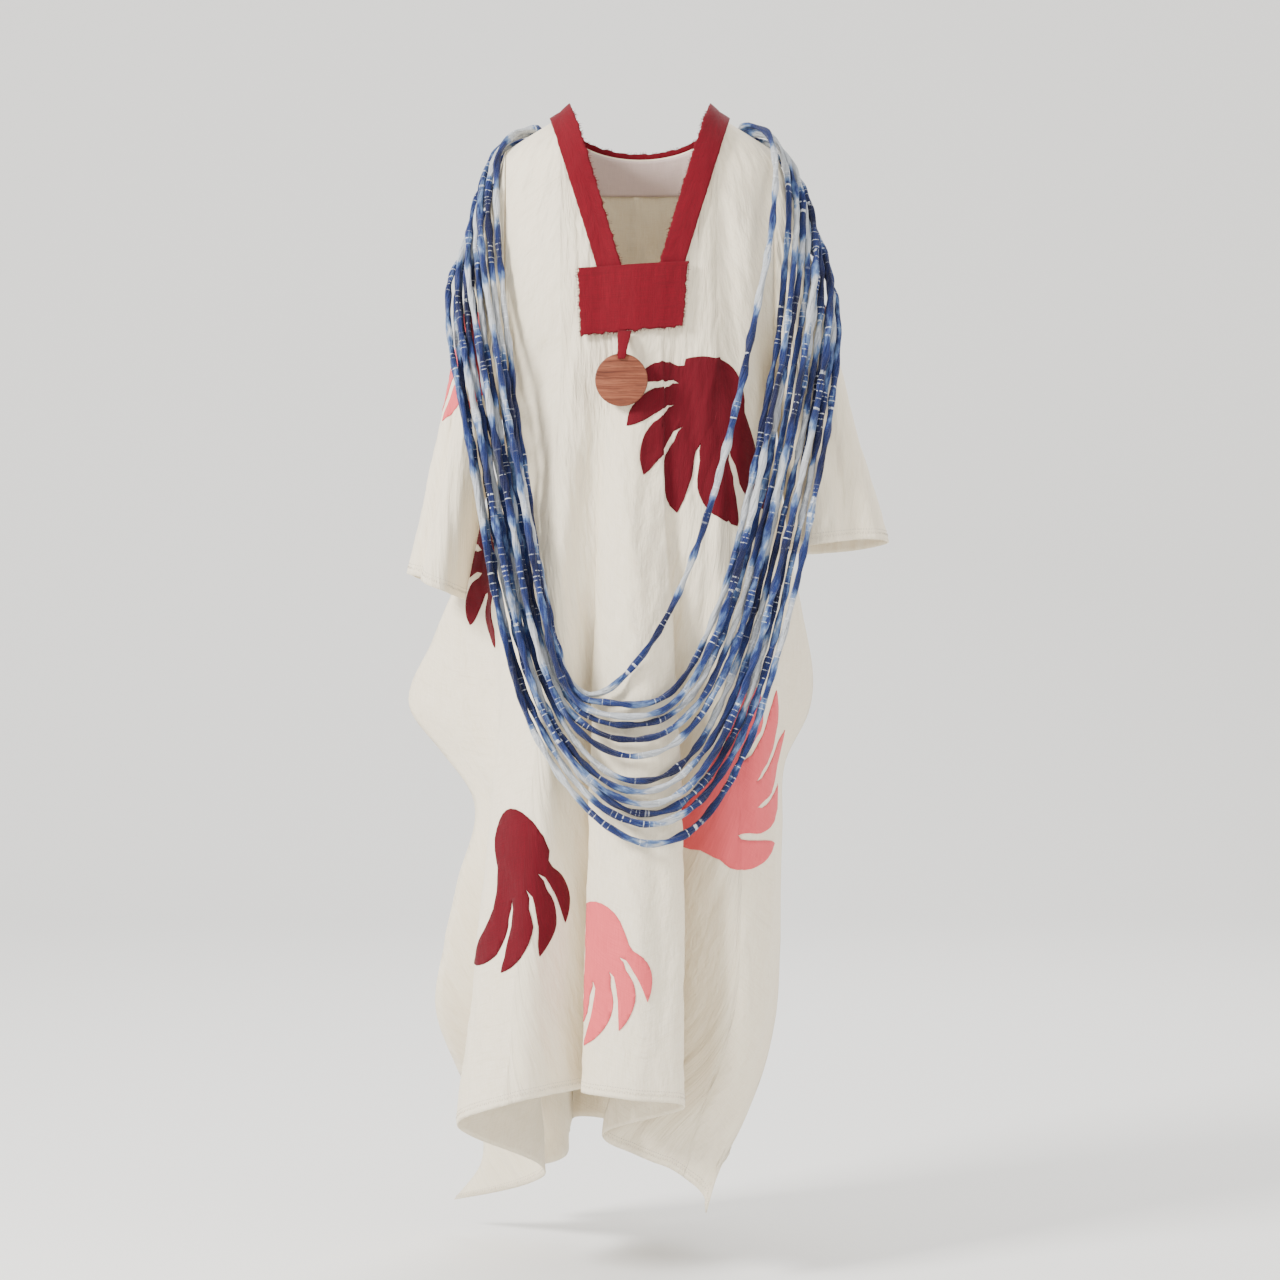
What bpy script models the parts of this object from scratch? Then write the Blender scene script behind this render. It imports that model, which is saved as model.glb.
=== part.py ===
"""A worn kaftan of hand-woven cotton, filled out with no wearer in it.

+Z is up, the front looks towards -Y and +X is on the right of someone who looks at the front.
The origin is the middle of the neck at shoulder height, where the wearer carries the garment.
Sizes and tables are in millimetres, and a mesh is scaled to metres when it is made. A drop is
a distance below the origin.
"""

import itertools
import math

import bmesh
import bpy
import numpy as np
from mathutils import Vector
from mathutils.bvhtree import BVHTree

MM = 0.001

# Cloth
WALL = 2.0
BAND_WALL = 1.6
PATCH_WALL = 2.4
LEAF_WALL = 0.8
GAP = 0.3

# The figure that the cloth hangs on
SHOULDER_HALF_WIDTH = 176
SHOULDER_DROP = 48
NECK_HALF_WIDTH = 102
NECK_DROP = 2
NECK_RISE_PER_MM = 1.0
ROLL_DROP = 100
UNDERARM_DROP = 380

# The neck opening: the V's half width at the top, and how it closes
V_DROPS = (2, 208, 250, 275)
V_HALF_WIDTHS = (102, 38, 22, 0.5)
BACK_NECK_DROP = 50

# How far the pieces that lie on a panel stand off its inner face, which is flat between grid points
BAND_LIFT = WALL + 1.8
BAND_TOP_LIFT = 2.6
BAND_TOP_REACH = 45
FACING_LIFT = 2.6

# Grid of each panel: cells from fold line to fold line, rows, and how the rows crowd upwards
FRONT_CELLS_PER_FOLD = 3
BACK_CELLS_PER_FOLD = 2
SLIT_DROP = 1100
SEAM_ROWS = 20
HEM_ROWS = 5
ROWS = SEAM_ROWS + HEM_ROWS
ROW_CROWDING = 1.5

# Heights at which the fold tables give each fold line
DROPS = (100, 200, 320, 450, 620, 770, 880, 1030, 1200, 1330, 1450)

# Each fold line of the front from the left seam to the right one: (x, y) at each of DROPS, hem drop
FRONT_FOLDS = {
    "left tuck": (((-166, -62), (-168, -80), (-172, -64), (-184, -22), (-205, -5), (-205, -15),
                   (-172, -60), (-165, -40), (-150, -10), (-135, 45), (-130, 60)), 1428),
    "left roll edge": (((-148, -78), (-150, -97), (-155, -88), (-172, -72), (-185, -75), (-184, -95),
                        (-194, -115), (-208, -120), (-226, -120), (-239, -130), (-240, -132)), 1334),
    "left roll": (((-95, -98), (-95, -119), (-97, -130), (-103, -146), (-113, -168), (-118, -183),
                   (-128, -195), (-141, -205), (-154, -215), (-165, -225), (-168, -228)), 1285),
    "middle valley": (((-50, -104), (-50, -123), (-52, -134), (-57, -139), (-62, -143), (-62, -146),
                       (-60, -146), (-56, -145), (-54, -143), (-50, -140), (-50, -140)), 1277),
    "middle roll edge": (((-30, -107), (-32, -126), (-36, -137), (-46, -146), (-54, -156), (-60, -166),
                          (-64, -176), (-68, -186), (-73, -194), (-75, -198), (-75, -198)), 1276),
    "middle roll": (((-2, -108), (-4, -128), (-6, -143), (-10, -164), (-10, -184), (-5, -199),
                     (-3, -210), (-4, -221), (-6, -231), (-6, -236), (-6, -236)), 1280),
    "right overlap": (((22, -106), (22, -127), (25, -139), (28, -152), (37, -162), (48, -168),
                       (53, -178), (56, -188), (58, -196), (60, -202), (60, -202)), 1295),
    "right tuck": (((38, -105), (38, -125), (37, -136), (37, -142), (42, -140), (40, -125),
                    (34, -112), (20, -100), (0, -88), (-45, -62), (-58, -50)), 1358),
    "right panel": (((88, -99), (88, -117), (90, -130), (95, -140), (108, -146), (115, -145),
                     (115, -148), (115, -152), (102, -150), (60, -135), (30, -120)), 1392),
    "right roll": (((145, -78), (142, -98), (145, -104), (152, -100), (155, -100), (168, -105),
                    (168, -115), (170, -118), (155, -135), (115, -150), (70, -145)), 1420),
}

BACK_FOLDS = {
    "left side roll": (((-130, 66), (-135, 82), (-138, 88), (-150, 78), (-200, 96), (-235, 110),
                        (-205, 120), (-215, 120), (-235, 130), (-205, 185), (-180, 215)), 1455),
    "left valley": (((-88, 82), (-90, 98), (-92, 104), (-98, 112), (-120, 118), (-140, 120),
                     (-130, 122), (-125, 128), (-115, 140), (-108, 156), (-108, 165)), 1432),
    "left back roll": (((-45, 90), (-45, 104), (-46, 112), (-50, 122), (-62, 142), (-72, 160),
                        (-76, 176), (-84, 196), (-92, 220), (-96, 240), (-96, 245)), 1392),
    "centre back": (((0, 92), (0, 104), (0, 110), (0, 114), (0, 120), (-5, 126),
                     (-8, 132), (-12, 140), (-18, 150), (-22, 160), (-22, 165)), 1380),
    "right back roll": (((45, 90), (45, 104), (46, 112), (50, 122), (62, 142), (66, 160),
                         (68, 174), (70, 192), (72, 210), (72, 222), (72, 225)), 1400),
    "right valley": (((88, 82), (90, 98), (92, 104), (98, 110), (112, 116), (118, 122),
                      (122, 124), (124, 130), (122, 138), (108, 146), (100, 150)), 1405),
    "right side roll": (((130, 66), (135, 82), (138, 88), (148, 78), (165, 100), (180, 108),
                         (180, 112), (178, 118), (165, 120), (138, 125), (120, 130)), 1415),
}

# The armhole's two edges: drop, y of the front's edge, y of the back's
ARMHOLE = ((100, -51, 36), (200, -70, 48), (320, -54, 38), (380, 0, 0))

# The side seams below the underarm, down to the slits: drop, x, y
LEFT_SEAM = ((450, -180, 15), (530, -208, 42), (620, -246, 55), (700, -280, 62), (800, -311, 66),
             (850, -272, 58), (906, -228, 32), (1030, -246, 18), (1100, -262, 20))
RIGHT_SEAM = ((450, 182, 15), (530, 193, 36), (600, 205, 46), (660, 218, 53), (800, 228, 60),
              (862, 196, 30), (950, 190, 0), (1030, 187, -20), (1100, 186, -40))

# The free edges of the front and the back below the slits: drop, x, y
FRONT_LEFT_EDGE = ((1200, -277, 30), (1290, -250, 70), (1360, -225, 130), (1440, -222, 160), (1500, -262, 205))
FRONT_RIGHT_EDGE = ((1200, 178, -70), (1260, 163, -95), (1320, 138, -125), (1400, 99, -150), (1442, 87, -152))
BACK_LEFT_EDGE = ((1200, -272, 44), (1290, -242, 114), (1360, -214, 165), (1430, -192, 205), (1445, -190, 208))
BACK_RIGHT_EDGE = ((1200, 168, 15), (1290, 145, 58), (1360, 125, 80), (1420, 112, 92), (1430, 110, 94))


def spline(knots, values, at):
    """A smooth curve through values at knots, read at the places in at."""
    knots = np.asarray(knots, float)
    values = np.asarray(values, float)
    at = np.clip(np.asarray(at, float), knots[0], knots[-1])
    slopes = np.gradient(values, knots, axis=0)
    k = np.clip(np.searchsorted(knots, at, side="right") - 1, 0, len(knots) - 2)
    width = knots[k + 1] - knots[k]
    t = (at - knots[k]) / width
    pad = (slice(None),) + (None,) * (values.ndim - 1)
    t = t[pad]
    width = width[pad]
    return (
        (2 * t**3 - 3 * t**2 + 1) * values[k]
        + (t**3 - 2 * t**2 + t) * width * slopes[k]
        + (3 * t**2 - 2 * t**3) * values[k + 1]
        + (t**3 - t**2) * width * slopes[k + 1]
    )


def edge_points(stretches, drops):
    """Points of a panel's edge, whose stretches meet in corners."""
    drops = np.asarray(drops, float)
    points = np.zeros((len(drops), 2))
    for stretch in stretches:
        rows = np.array(stretch, float)
        here = drops >= rows[0, 0] - 1e-6
        points[here] = spline(rows[:, 0], rows[:, 1:], drops[here])
    return points


def shoulder_drop(x):
    """How far below the origin the shoulder line runs at x. It rises towards the neck."""
    beyond = np.abs(x) - NECK_HALF_WIDTH
    slope = (SHOULDER_DROP - NECK_DROP) / (SHOULDER_HALF_WIDTH - NECK_HALF_WIDTH)
    return np.where(beyond > 0, NECK_DROP + slope * beyond, NECK_DROP + NECK_RISE_PER_MM * beyond)


class Panel:
    """The front or the back: fold lines side by side, each a smooth curve from shoulder to hem."""

    def __init__(self, folds, left_edge, right_edge, side, cells_per_fold):
        self.side = side
        self.edges = (left_edge, right_edge)
        self.folds = np.array([points for points, _ in folds.values()], float)
        hems = [left_edge[-1][-1][0]] + [hem for _, hem in folds.values()] + [right_edge[-1][-1][0]]
        self.spans = len(folds) + 1
        self.cells = self.spans * cells_per_fold
        self.across = np.linspace(0, self.spans, self.cells + 1)
        self.hems = spline(np.arange(self.spans + 1), hems, self.across)
        self.tops = np.array([self.top_of(u) for u in self.across])

    def lines(self, drops):
        """Every fold line with the two edges, as (line, drop, x and y)."""
        left, right = (edge_points(edge, drops) for edge in self.edges)
        inner = [spline(DROPS, fold, drops) for fold in self.folds]
        return np.array([left] + inner + [right])

    def below_roll(self, across, drops):
        return spline(np.arange(self.spans + 1), self.lines(drops), across)

    def at(self, across, drops):
        """Points of the cloth's inner face for pairs of fold position and drop."""
        across = np.atleast_1d(np.asarray(across, float))
        drops = np.atleast_1d(np.asarray(drops, float))
        flat = np.array([self.below_roll([u], [max(d, ROLL_DROP)])[0, 0] for u, d in zip(across, drops)])
        x = flat[:, 0]
        top = np.minimum(shoulder_drop(x), SHOULDER_DROP)
        rise = np.clip((ROLL_DROP - drops) / (ROLL_DROP - top), 0, 1)
        seam = self.side * GAP / 2
        y = seam + (flat[:, 1] - seam) * np.sqrt(1 - rise**2)
        return np.stack([x, y, -drops], axis=1)

    def top_of(self, u):
        """Where the cloth starts on fold position u: on the shoulder line or on the neck's cut edge."""
        x = abs(self.below_roll([u], [ROLL_DROP])[0, 0, 0])
        shoulder = float(shoulder_drop(x))
        if x >= NECK_HALF_WIDTH:
            return shoulder
        if self.side > 0:
            bow = math.sqrt(1 - (x / NECK_HALF_WIDTH) ** 2)
            return NECK_DROP + (BACK_NECK_DROP - NECK_DROP) * bow
        drops = np.linspace(V_DROPS[0], V_DROPS[-1], 200)
        xs = np.abs(self.below_roll([u], np.maximum(drops, ROLL_DROP))[0, :, 0])
        outside = xs >= np.interp(drops, V_DROPS, V_HALF_WIDTHS)
        return float(drops[outside][0]) if outside.any() else V_DROPS[-1]

    def drop_at(self, cell, row):
        """The drop of a grid place, given in cells from the left seam and rows from the top."""
        top = np.interp(cell, range(self.cells + 1), self.tops)
        hem = np.interp(cell, range(self.cells + 1), self.hems)
        upper = top + (SLIT_DROP - top) * np.clip(row / SEAM_ROWS, 0, 1) ** ROW_CROWDING
        return upper + (hem - SLIT_DROP) * np.clip((row - SEAM_ROWS) / HEM_ROWS, 0, 1)

    def grid(self):
        cells, rows = np.meshgrid(np.arange(self.cells + 1), np.arange(ROWS + 1))
        drops = self.drop_at(cells.ravel(), rows.ravel())
        points = self.at(self.across[cells.ravel()], drops)
        grid = points.reshape(ROWS + 1, self.cells + 1, 3)
        grid[:, (0, -1), 1] += self.side * GAP
        return grid


def edge_of(armhole_column, seam, free_edge, side_x):
    """A panel's edge as three stretches, armhole, side seam and slit, each of rows of drop, x and y."""
    armhole = tuple((row[0], side_x, row[armhole_column]) for row in ARMHOLE)
    seam = (armhole[-1],) + seam
    return armhole, seam, (seam[-1],) + free_edge


def front():
    left = edge_of(1, LEFT_SEAM, FRONT_LEFT_EDGE, -SHOULDER_HALF_WIDTH)
    right = edge_of(1, RIGHT_SEAM, FRONT_RIGHT_EDGE, SHOULDER_HALF_WIDTH)
    return Panel(FRONT_FOLDS, left, right, -1, FRONT_CELLS_PER_FOLD)


def back():
    left = edge_of(2, LEFT_SEAM, BACK_LEFT_EDGE, -SHOULDER_HALF_WIDTH)
    right = edge_of(2, RIGHT_SEAM, BACK_RIGHT_EDGE, SHOULDER_HALF_WIDTH)
    return Panel(BACK_FOLDS, left, right, 1, BACK_CELLS_PER_FOLD)


def clear_scene():
    for obj in list(bpy.data.objects):
        bpy.data.objects.remove(obj)


def material(name, colour, roughness):
    made = bpy.data.materials.new(name)
    made.use_nodes = True
    shader = made.node_tree.nodes["Principled BSDF"]
    shader.inputs["Base Color"].default_value = (*colour, 1)
    shader.inputs["Roughness"].default_value = roughness
    shader.inputs["Metallic"].default_value = 0
    return made


def add_mesh(name, points, faces, finish):
    mesh = bpy.data.meshes.new(name)
    mesh.from_pydata([tuple(point * MM) for point in np.asarray(points, float)], [], faces)
    mesh.materials.append(finish)
    mesh.shade_smooth()
    obj = bpy.data.objects.new(name, mesh)
    bpy.context.collection.objects.link(obj)
    return obj


def thicken(obj, wall, offset=1):
    solidify = obj.modifiers.new("wall", "SOLIDIFY")
    solidify.thickness = wall * MM
    solidify.offset = offset
    return obj


def grid_faces(rows, columns, closed, flip):
    """Quads of a grid of points, closed round in its columns if asked, facing out for flip False."""
    faces = []
    for r in range(rows - 1):
        for c in range(columns if closed else columns - 1):
            right = (c + 1) % columns
            quad = [r * columns + c, (r + 1) * columns + c, (r + 1) * columns + right, r * columns + right]
            faces.append(quad[::-1] if flip else quad)
    return faces


def add_sheet(name, grid, wall, finish, closed=False, flip=False, offset=1):
    rows, columns, _ = grid.shape
    faces = grid_faces(rows, columns, closed, flip)
    return thicken(add_mesh(name, grid.reshape(-1, 3), faces, finish), wall, offset)


def ellipse_arm(side, table):
    """The cuff's loop and lie, as named values."""
    return dict(zip(("x", "y", "drop", "half_x", "half_y", "fall_x", "fall_y"), table), side=side)


CUFFS = {
    "sleeve_left": ellipse_arm(-1, (-272, -50, 626, 38, 62, 0.45, 0.02)),
    "sleeve_right": ellipse_arm(1, (264, -52, 574, 66, 62, 0.10, 0.14)),
}

# Folds along each sleeve: angle round the arm from its top, past the front; depth at the cuff; half width
SLEEVE_FOLDS = {
    "sleeve_left": ((48, -14, 16), (100, 9, 30), (232, -10, 20), (300, 8, 24)),
    "sleeve_right": ((70, -13, 17), (122, 8, 26), (215, -12, 20), (262, 9, 24)),
}
SLEEVE_HALF = 10
SLEEVE_ROWS = 9
SHOULDER_BULGE = 9
ARMHOLE_GAP = 1.3
UNDERARM_CLEARANCE = 4.0


def armhole(front_cloth, back_cloth, side):
    """The armhole as a ring: from the shoulder down the front's edge and up the back's."""
    turn = np.radians(np.linspace(0, 180, SLEEVE_HALF + 1))
    middle = (SHOULDER_DROP + UNDERARM_DROP) / 2
    drops = middle - (UNDERARM_DROP - SHOULDER_DROP) / 2 * np.cos(turn)
    edge = 0 if side < 0 else front_cloth.spans
    down = front_cloth.at([edge] * len(drops), drops)
    edge = 0 if side < 0 else back_cloth.spans
    up = back_cloth.at([edge] * len(drops), drops)[::-1]
    ring = np.vstack([down, up[1:-1]])
    ring[0, 1] = ring[SLEEVE_HALF, 1] = 0
    angle = np.linspace(0, 360, 2 * SLEEVE_HALF, endpoint=False)
    ring[:, 0] += side * (ARMHOLE_GAP + UNDERARM_CLEARANCE * (1 - np.cos(np.radians(angle))) / 2)
    return ring, angle


def sleeve_grid(name, front_cloth, back_cloth):
    """A straight sleeve: ruled from the armhole to the cuff, then bulged and folded."""
    cuff = CUFFS[name]
    side = cuff["side"]
    ring, angle = armhole(front_cloth, back_cloth, side)
    turn = np.radians(angle)
    x = cuff["x"] + side * cuff["half_x"] * np.cos(turn)
    y = cuff["y"] - cuff["half_y"] * np.sin(turn)
    inward = -side * (x - cuff["x"])
    drop = cuff["drop"] + cuff["fall_x"] * inward + cuff["fall_y"] * (y - cuff["y"])
    end = np.stack([x, y, -drop], axis=1)
    outward = np.stack([side * np.cos(turn), -np.sin(turn), 0 * turn], axis=1)
    grid = []
    for s in np.linspace(0, 1, SLEEVE_ROWS + 1):
        points = ring + (end - ring) * s
        top = np.clip(np.cos(turn), 0, 1)[:, None]
        points = points + outward * top * SHOULDER_BULGE * 4 * s * (1 - s) ** 3 * 2.4
        for at, depth, width in SLEEVE_FOLDS[name]:
            away = (angle - at + 180) % 360 - 180
            points = points + outward * (depth * s * np.exp(-((away / width) ** 2)))[:, None]
        grid.append(points)
    return np.array(grid)


class Surface:
    """A panel's smooth surface read by how it looks from the front or the back: x and drop."""

    def __init__(self, panel):
        self.panel = panel
        self.across = np.linspace(0, panel.spans, 12 * panel.spans + 1)

    def at(self, x, drop):
        xs = self.panel.below_roll(self.across, [max(drop, ROLL_DROP)])[:, 0, 0]
        return self.panel.at(np.interp(x, xs, self.across), drop)[0]

    def lifted(self, x, drop, height):
        """The point that height above the cloth's inner face, along the cloth's normal."""
        step = 2.0
        here = self.at(x, drop)
        right = self.at(x + step, drop) - self.at(x - step, drop)
        low = drop + step
        if low < shoulder_drop(x):
            low = drop + 2 * step
        down = self.at(x, low) - self.at(x, max(drop - step, float(shoulder_drop(x))))
        normal = np.cross(down, right) * -self.panel.side
        return here + normal / np.linalg.norm(normal) * height


# The V bands: x and drop at the shoulder and at the patch, for the outer and the inner edge
BAND_OUTER = ((116, 12), (55, 214))
BAND_INNER = ((88, -8), (22, 214))
BAND_CELLS = 3
BAND_ROWS = 12
BAND_END_DROP = 232

# The back band: half length along the neck, how far it stands above the cut edge and covers below it
BACK_BAND_HALF = 101
BACK_BAND_ABOVE = 7
BACK_BAND_BELOW = 26

# The facing inside the back: half width, lowest drop
FACING_HALF = 92
FACING_DROP = 100
FACING_WALL = 1.0

# The patch: x and drop of its corners, as seen from the front
PATCH_TOP_LEFT = (-80, 212)
PATCH_TOP_RIGHT = (61, 203)
PATCH_BOTTOM_RIGHT = (55, 287)
PATCH_BOTTOM_LEFT = (-76, 299)
PATCH_CELLS = (8, 5)

# The tab and the disc on it
TAB_TOP = (-20, 285)
TAB_HALF_WIDTHS = (9, 4.5)
TAB_BOTTOM_DROP = 330
TAB_WALL = 2.0
DISC_X = -24
DISC_DROP = 357
DISC_RADIUS = 34
DISC_THICKNESS = 8
DISC_SIDES = 36
DISC_STAND_OFF = 4.6


def between(a, b, t):
    return np.array(a, float) + (np.array(b, float) - np.array(a, float)) * t


def neck_band(surface, side):
    """One side of the V: a straight strip whose outer half lies on the front."""
    stretch = (BAND_END_DROP - BAND_OUTER[0][1]) / (BAND_OUTER[1][1] - BAND_OUTER[0][1])
    grid = []
    for t in np.linspace(0, stretch, BAND_ROWS + 1):
        outer = between(BAND_OUTER[0], BAND_OUTER[1], t)
        inner = between(BAND_INNER[0], BAND_INNER[1], t)
        row = [between(outer, inner, w) for w in np.linspace(0, 1, BAND_CELLS + 1)]
        lift = BAND_LIFT + BAND_TOP_LIFT * math.exp(-((max(outer[1], 0) / BAND_TOP_REACH) ** 2))
        grid.append([surface.lifted(side * x, drop, lift) for x, drop in row])
    return np.array(grid)


def back_band(surface):
    """The band round the back of the neck, on the back's outer face and a little above its edge."""
    grid = []
    for share in (0, 0.5, 1):
        row = []
        for angle in np.radians(np.linspace(-78, 78, 17)):
            x = NECK_HALF_WIDTH * math.sin(angle)
            edge = NECK_DROP + (BACK_NECK_DROP - NECK_DROP) * math.cos(angle)
            drop = edge - BACK_BAND_ABOVE + share * (BACK_BAND_ABOVE + BACK_BAND_BELOW)
            row.append(surface.lifted(x, max(drop, float(shoulder_drop(x)) + 1), BAND_LIFT))
        grid.append(row)
    return np.array(grid)


def back_facing(surface):
    grid = []
    for share in np.linspace(0, 1, 4):
        row = []
        for x in np.linspace(-FACING_HALF, FACING_HALF, 15):
            edge = NECK_DROP + (BACK_NECK_DROP - NECK_DROP) * math.sqrt(1 - (x / NECK_HALF_WIDTH) ** 2) + 2
            row.append(surface.lifted(x, edge + share * (FACING_DROP - edge), -FACING_LIFT))
        grid.append(row)
    return np.array(grid)


def chest_patch(surface):
    grid = []
    for v in np.linspace(0, 1, PATCH_CELLS[1] + 1):
        left = between(PATCH_TOP_LEFT, PATCH_BOTTOM_LEFT, v)
        right = between(PATCH_TOP_RIGHT, PATCH_BOTTOM_RIGHT, v)
        row = [between(left, right, u) for u in np.linspace(0, 1, PATCH_CELLS[0] + 1)]
        grid.append([surface.lifted(x, drop, BAND_LIFT + BAND_WALL + 2 * GAP) for x, drop in row])
    return np.array(grid)


def disc_back(surface):
    """The y of the disc's back face, just clear of the cloth behind it."""
    around = [surface.lifted(DISC_X + dx, DISC_DROP + dz, WALL)[1]
              for dx in (-DISC_RADIUS, 0, DISC_RADIUS) for dz in (-DISC_RADIUS, 0, DISC_RADIUS)]
    return min(around) - DISC_STAND_OFF


def pendant_tab(surface):
    """The tab comes out from under the patch and ends on the disc's face."""
    face = disc_back(surface) - DISC_THICKNESS - 2 * GAP
    grid = []
    for t in np.linspace(0, 1, 5):
        drop = PATCH_BOTTOM_LEFT[1] - 5 + t * (TAB_BOTTOM_DROP - PATCH_BOTTOM_LEFT[1] + 5)
        half = TAB_HALF_WIDTHS[0] + (TAB_HALF_WIDTHS[1] - TAB_HALF_WIDTHS[0]) * t
        x = TAB_TOP[0] + (DISC_X - TAB_TOP[0]) * t
        start = surface.lifted(x, drop, BAND_LIFT + BAND_WALL + PATCH_WALL + 4 * GAP)[1]
        y = start + (min(face, start) - start) * min(1, 1.3 * t)
        grid.append([(x - half, y, -drop), (x, y - 0.8, -drop), (x + half, y, -drop)])
    return np.array(grid)


def wooden_disc(surface, finish):
    """A turned disc with rounded rims, its axis towards the front."""
    back = disc_back(surface)
    soft = 1.5
    profile = ((DISC_RADIUS - soft, 0), (DISC_RADIUS, soft), (DISC_RADIUS, DISC_THICKNESS - soft),
               (DISC_RADIUS - soft, DISC_THICKNESS))
    points = []
    for radius, depth in profile:
        for angle in np.linspace(0, 2 * math.pi, DISC_SIDES, endpoint=False):
            points.append((DISC_X + radius * math.cos(angle), back - depth, -DISC_DROP + radius * math.sin(angle)))
    faces = [list(range(DISC_SIDES))[::-1], list(range(len(points) - DISC_SIDES, len(points)))]
    for ring in range(len(profile) - 1):
        for k in range(DISC_SIDES):
            a = ring * DISC_SIDES + k
            b = ring * DISC_SIDES + (k + 1) % DISC_SIDES
            faces.append([a, b, b + DISC_SIDES, a + DISC_SIDES])
    return add_mesh("wooden_disc", points, faces, finish)


# Leaves: panel, distance across the cloth from its middle fold line, drop of the palm, the way its
# middle finger points (0 is down, 90 to the right), length of that finger, fan of the fingers, their
# number, how much they curl, how much shorter the last one is (the first one where it is negative), the
# leaf's height over the panel, and the panel's columns that it lies between. Angles in degrees.
LEAF_COLUMNS = ("panel", "across", "drop", "points", "length", "fan", "fingers", "curl", "shrink", "lift",
                "from", "to")
LEAVES = {
    "leaf_chest": ("front", 132, 362, -38, 208, 160, 6, 12, -0.45, 1.0, 0, 33),
    "leaf_left_side": ("front", -252, 592, -72, 134, 120, 4, 12, 0.1, 1.0, 0, 33),
    "leaf_lower_left": ("front", -212, 942, 16, 208, 84, 4, -16, 0.35, 1.0, 0, 33),
    "leaf_centre": ("front", -22, 1055, 22, 178, 84, 4, -16, 0.3, 1.0, 15, 33),
    "leaf_lower_right": ("front", 238, 930, 116, 190, 130, 5, 14, -0.15, 1.5, 25, 33),
    "leaf_sleeve_left": ("sleeve_left", 46, 283, -6, 146, 90, 4, -14, 0.2, 0.9, 0, 20),
    "leaf_sleeve_right": ("sleeve_right", -20, 255, 40, 70, 120, 3, -14, 0.2, 0.6, 0, 20),
}
CORAL_LEAVES = ("leaf_centre", "leaf_lower_right", "leaf_sleeve_left")
PALM = 0.33
SLOT = 0.12
FINGER_SHAPE = ((0.00, -1.00), (0.82, -0.95), (1.00, -0.10), (0.85, 0.75), (0.00, 1.00))
PALM_BACK = (0.30, 0.26, 0.30)


def split_leaf(points, length, fan, fingers, curl, shrink):
    """The outline of a split leaf: curled fingers fan out from a palm, with round slots between."""
    outline = []
    pitch = fan / fingers
    for k in range(fingers):
        middle = points - fan / 2 + pitch * (k + 0.5)
        from_longest = (k if shrink > 0 else fingers - 1 - k) / (fingers - 1)
        reach = length * (1 - abs(shrink) * from_longest)
        base = PALM * length
        for along, side in FINGER_SHAPE:
            radius = base + (reach - base) * along
            width = pitch / 2 * (1 - SLOT) * side * base / radius * (1 + along)
            angle = math.radians(middle + width + curl * along**2)
            outline.append((radius * math.sin(angle), radius * math.cos(angle)))
    rest = 360 - fan
    for k, share in enumerate(PALM_BACK):
        angle = math.radians(points + fan / 2 + rest * (k + 1) / (len(PALM_BACK) + 1))
        outline.append((share * length * math.sin(angle), share * length * math.cos(angle)))
    return np.array(outline)


class PanelGrid:
    """A panel's grid read as flat cloth: distance across it and drop."""

    def __init__(self, grid, middle, outward):
        self.grid = grid
        self.middle = middle
        down = np.gradient(grid, axis=0)
        right = np.gradient(grid, axis=1)
        normal = np.cross(down, right) * outward
        self.normal = normal / np.linalg.norm(normal, axis=2)[:, :, None]

    def place(self, across, drop):
        """Grid cell and row, whole or not, of a place on the cloth."""
        drops = -self.grid[:, :, 2]
        rows = np.array([np.interp(drop, drops[:, c], range(len(drops))) for c in range(drops.shape[1])])
        line = self.read(np.arange(len(rows)), rows, self.grid)
        steps = np.linalg.norm(np.diff(line, axis=0), axis=1)
        length = np.concatenate([[0], np.cumsum(steps)])
        length -= np.interp(self.middle, range(len(length)), length)
        cell = float(np.interp(across, length, range(len(length))))
        return cell, float(np.interp(cell, range(len(rows)), rows))

    def read(self, cells, rows, values):
        cells = np.asarray(cells, float)
        rows = np.asarray(rows, float)
        c = np.clip(cells.astype(int), 0, values.shape[1] - 2)
        r = np.clip(rows.astype(int), 0, values.shape[0] - 2)
        u = (cells - c)[:, None]
        v = (rows - r)[:, None]
        upper = values[r, c] * (1 - u) + values[r, c + 1] * u
        lower = values[r + 1, c] * (1 - u) + values[r + 1, c + 1] * u
        return upper * (1 - v) + lower * v

    def lift(self, cells, rows, height):
        normal = self.read(cells, rows, self.normal)
        return self.read(cells, rows, self.grid) + normal / np.linalg.norm(normal, axis=1)[:, None] * height


def on_grid_line(edge):
    """Whether a flat edge lies along a whole column or row."""
    a, b = (vert.co for vert in edge.verts)
    return any(abs(a[k] - b[k]) < 1e-4 and abs(a[k] - round(a[k])) < 1e-4 for k in (0, 1))


def cut_along_grid(shape):
    """Cuts a flat shape at every whole column and row, and leaves one face in each cell."""
    for axis, normal in enumerate(((1, 0, 0), (0, 1, 0))):
        values = [vert.co[axis] for vert in shape.verts]
        for at in range(math.floor(min(values)) + 1, math.ceil(max(values))):
            everything = shape.verts[:] + shape.edges[:] + shape.faces[:]
            bmesh.ops.bisect_plane(shape, geom=everything, dist=1e-5, plane_co=Vector(normal) * at, plane_no=normal)
    inner = [edge for edge in shape.edges if len(edge.link_faces) == 2 and not on_grid_line(edge)]
    bmesh.ops.dissolve_edges(shape, edges=inner, use_verts=False)
    bmesh.ops.dissolve_degenerate(shape, dist=1e-4, edges=shape.edges[:])


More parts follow.
